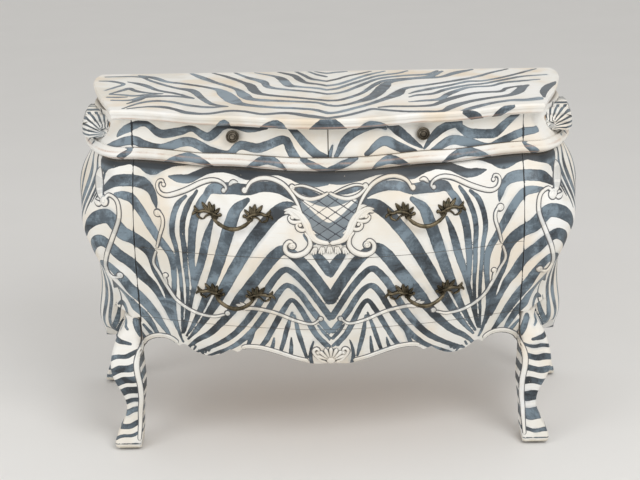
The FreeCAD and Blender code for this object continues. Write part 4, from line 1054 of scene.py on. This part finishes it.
pullShape = {"spacing": 84, "projection": 27, "grip": 9, "drop": 21, "x": 228.5,
             "heights": {"upper_drawer": 633.4, "lower_drawer": 430.8},
             "buttons": [(42, 0, 8.5, 6), (29, 5, 4.5, 5)], "ends": (0.0058, 0.0046), "bail": 0.0040,
             "swell": 0.0010, "middleBead": (0.0006, 0.05), "sideBeads": (0.0007, 0.36, 0.03),
             "sink": 0.001, "forward": 0.004, "steps": 24}
pullLeaves = [
    ("36,-3 44,6 54,10 68,12 80,9 92,12", (7, 9, 5), 6.0, 0),
    ("53,8 64,20 73,32", (6, 11, 2), 5.0, 0.35),
    ("50,8 53,22 55,34", (8, 12, 3), 6.0, 0.35),
    ("46,8 45,20 42,29", (7, 10, 2), 5.0, 0.35),
    ("43,6 35,14 29,21", (6, 9, 2), 4.5, 0.35),
    ("42,1 34,3 27,6", (6, 7, 4), 5.0, 0),
    ("80,9 89,16 91,23", (5, 7, 2), 4.0, 0.3),
    ("84,8 92,6 97,-1", (5, 7, 2), 4.0, 0.3),
    ("82,8 84,0 78,-5 70,-8", (4, 6, 3), 4.0, 0),
    ("70,-8 63,0 55,4 47,2 40,-4", (3, 5, 5), 4.0, 0)]


def tube(path, radii, segments=14):
    # round bar through the places, with its own thickness at each
    points, faces = [], []
    for k, (spot, radius) in enumerate(zip(path, radii)):
        ahead = (path[min(k + 1, len(path) - 1)] - path[max(k - 1, 0)]).normalized()
        side = ahead.cross(Vector((0, 0, 1)))
        side = side.normalized() if side.length > 0.05 else Vector((1, 0, 0))
        up = side.cross(ahead)
        for n in range(segments):
            turn = 2 * math.pi * n / segments
            points.append(spot + (side * math.cos(turn) + up * math.sin(turn)) * radius)
    last = (len(path) - 1) * segments
    for here in range(0, last, segments):
        for n in range(segments):
            m = (n + 1) % segments
            faces.append((here + n, here + m, here + segments + m, here + segments + n))
    return points, faces + [tuple(range(segments))[::-1], tuple(range(last, last + segments))]


def makePull(drawer, hand):
    p = pullShape
    height = p["heights"][drawer]
    middle = hand * p["x"]
    relief = Relief()
    for line, widths, tall, vein in pullLeaves:
        for flip in (-1, 1):
            leaf = [(middle + flip * x, height + z) for x, z in places(line)]
            relief.ribbon(leaf, widths, tall, vein, outline=0.0, step=2.5)
    for flip in (-1, 1):
        for x, z, radius, tall in p["buttons"]:
            relief.volute(middle + flip * x, height + z, radius, tall, outline=0.0)
    # the bail hangs between two posts and is thickest at its ends, its middle and two beads
    left, right = (onFront(middle + flip * p["spacing"] / 2, height)[0] for flip in (-1, 1))
    out = Vector((0, -(p["projection"] - p["grip"] / 2) / 1000, 0))
    root = Vector((0, p["sink"], 0))
    path, radii = [left + root, left.lerp(left + out, 0.5)], list(p["ends"])
    bead, beadWidth = p["middleBead"]
    sideBead, sideAt, sideWidth = p["sideBeads"]
    for k in range(p["steps"] + 1):
        t = k / p["steps"]
        sag = math.sin(math.pi * t)
        hang = Vector((0, -p["forward"] * sag, -p["drop"] / 1000 * sag ** 0.8))
        path.append((left + out).lerp(right + out, t) + hang)
        radii.append(p["bail"] + p["swell"] * sag + bead * math.exp(-((t - 0.5) / beadWidth) ** 2)
                     + sideBead * math.exp(-((abs(t - 0.5) - sideAt) / sideWidth) ** 2))
    path += [right.lerp(right + out, 0.5), right + root]
    points, faces = tube(path, radii + list(p["ends"][::-1]))
    base = len(relief.points)
    relief.points += points
    relief.faces += [tuple(base + i for i in face) for face in faces]
    relief.rims += [0.0] * len(points)
    relief.flat += [(0, 0)] * len(points)
    side = "right" if hand > 0 else "left"
    name = drawer.replace("_d", "D") + "Pull" + side.title()
    relief.build(name, brass, drawer, [drawer + "_pull_" + side], "antique_brass")


for drawer in pullShape["heights"]:
    for hand in (-1, 1):
        makePull(drawer, hand)
print("pulls cast")

view = {"place": (-0.019, -3.459, 1.626), "down": 18.13, "turn": -0.06, "roll": -0.92,
        "lens": 80.16, "sensor": 36}
camera = addObject("camera", bpy.data.cameras.new("camera"))
camera.data.lens = view["lens"]
camera.data.sensor_width = view["sensor"]
camera.location = view["place"]
yaw, pitch, roll = (math.radians(view[key]) for key in ("turn", "down", "roll"))
ahead = Vector((math.sin(yaw) * math.cos(pitch), math.cos(yaw) * math.cos(pitch), -math.sin(pitch)))
level = Vector((math.cos(yaw), -math.sin(yaw), 0))
above = level.cross(ahead)
right = level * math.cos(roll) + above * math.sin(roll)
above = above * math.cos(roll) - level * math.sin(roll)
camera.rotation_euler = Matrix((right, above, -ahead)).transposed().to_euler()
bpy.context.scene.camera = camera

# lamps are (x, y, z, power, size)
studio = {"key": (1.6, -2.6, 3.4, 70, 2.2), "fill": (-2.8, -2.4, 2.2, 34, 2.4), "aim": (0, 0, 0.45),
          "sky": 0.62, "backdrop": 0.92, "skyColour": (1.0, 0.99, 0.975, 1),
          "floor": (0.80, 0.79, 0.77, 1), "floorPatches": (0.83, 0.82, 0.80, 1), "floorReach": 40}
for name in ("key", "fill"):
    *spot, power, size = studio[name]
    lamp = addObject(name + "Lamp", bpy.data.lights.new(name + "Lamp", "AREA"))
    lamp.data.energy = power
    lamp.data.size = size
    lamp.location = spot
    lamp.rotation_euler = (Vector(studio["aim"]) - lamp.location).to_track_quat("-Z", "Y").to_euler()
world = bpy.data.worlds.new("studio")
bpy.context.scene.world = world
world.use_nodes = True
# the backdrop is brighter to look at than the light it gives
sky = Nodes(world.node_tree)
rays = sky.add("ShaderNodeLightPath").outputs
seen = sky.math("MAXIMUM", rays["Is Camera Ray"], rays["Is Glossy Ray"])
seen = sky.math("MAXIMUM", seen, rays["Is Transmission Ray"])
background = world.node_tree.nodes["Background"]
sky.feed(background.inputs["Strength"], sky.steps(seen, 0, 1, studio["sky"], studio["backdrop"]))
background.inputs["Color"].default_value = studio["skyColour"]

reach = studio["floorReach"]
floorMesh = bpy.data.meshes.new("floor")
corners = [(x * reach, y * reach, 0) for x, y in ((-1, -1), (1, -1), (1, 1), (-1, 1))]
floorMesh.from_pydata(corners, [], [(0, 1, 2, 3)])
floorPaint = Shader("paleFloor", studio, Roughness=0.8)
floorPaint.surface(Base_Color=floorPaint.mix(floorPaint.noise(3, 4), "floor", "floorPatches"))
floorMesh.materials.append(floorPaint.material)
addObject("floor", floorMesh)

bpy.context.scene.view_settings.view_transform = "Standard"
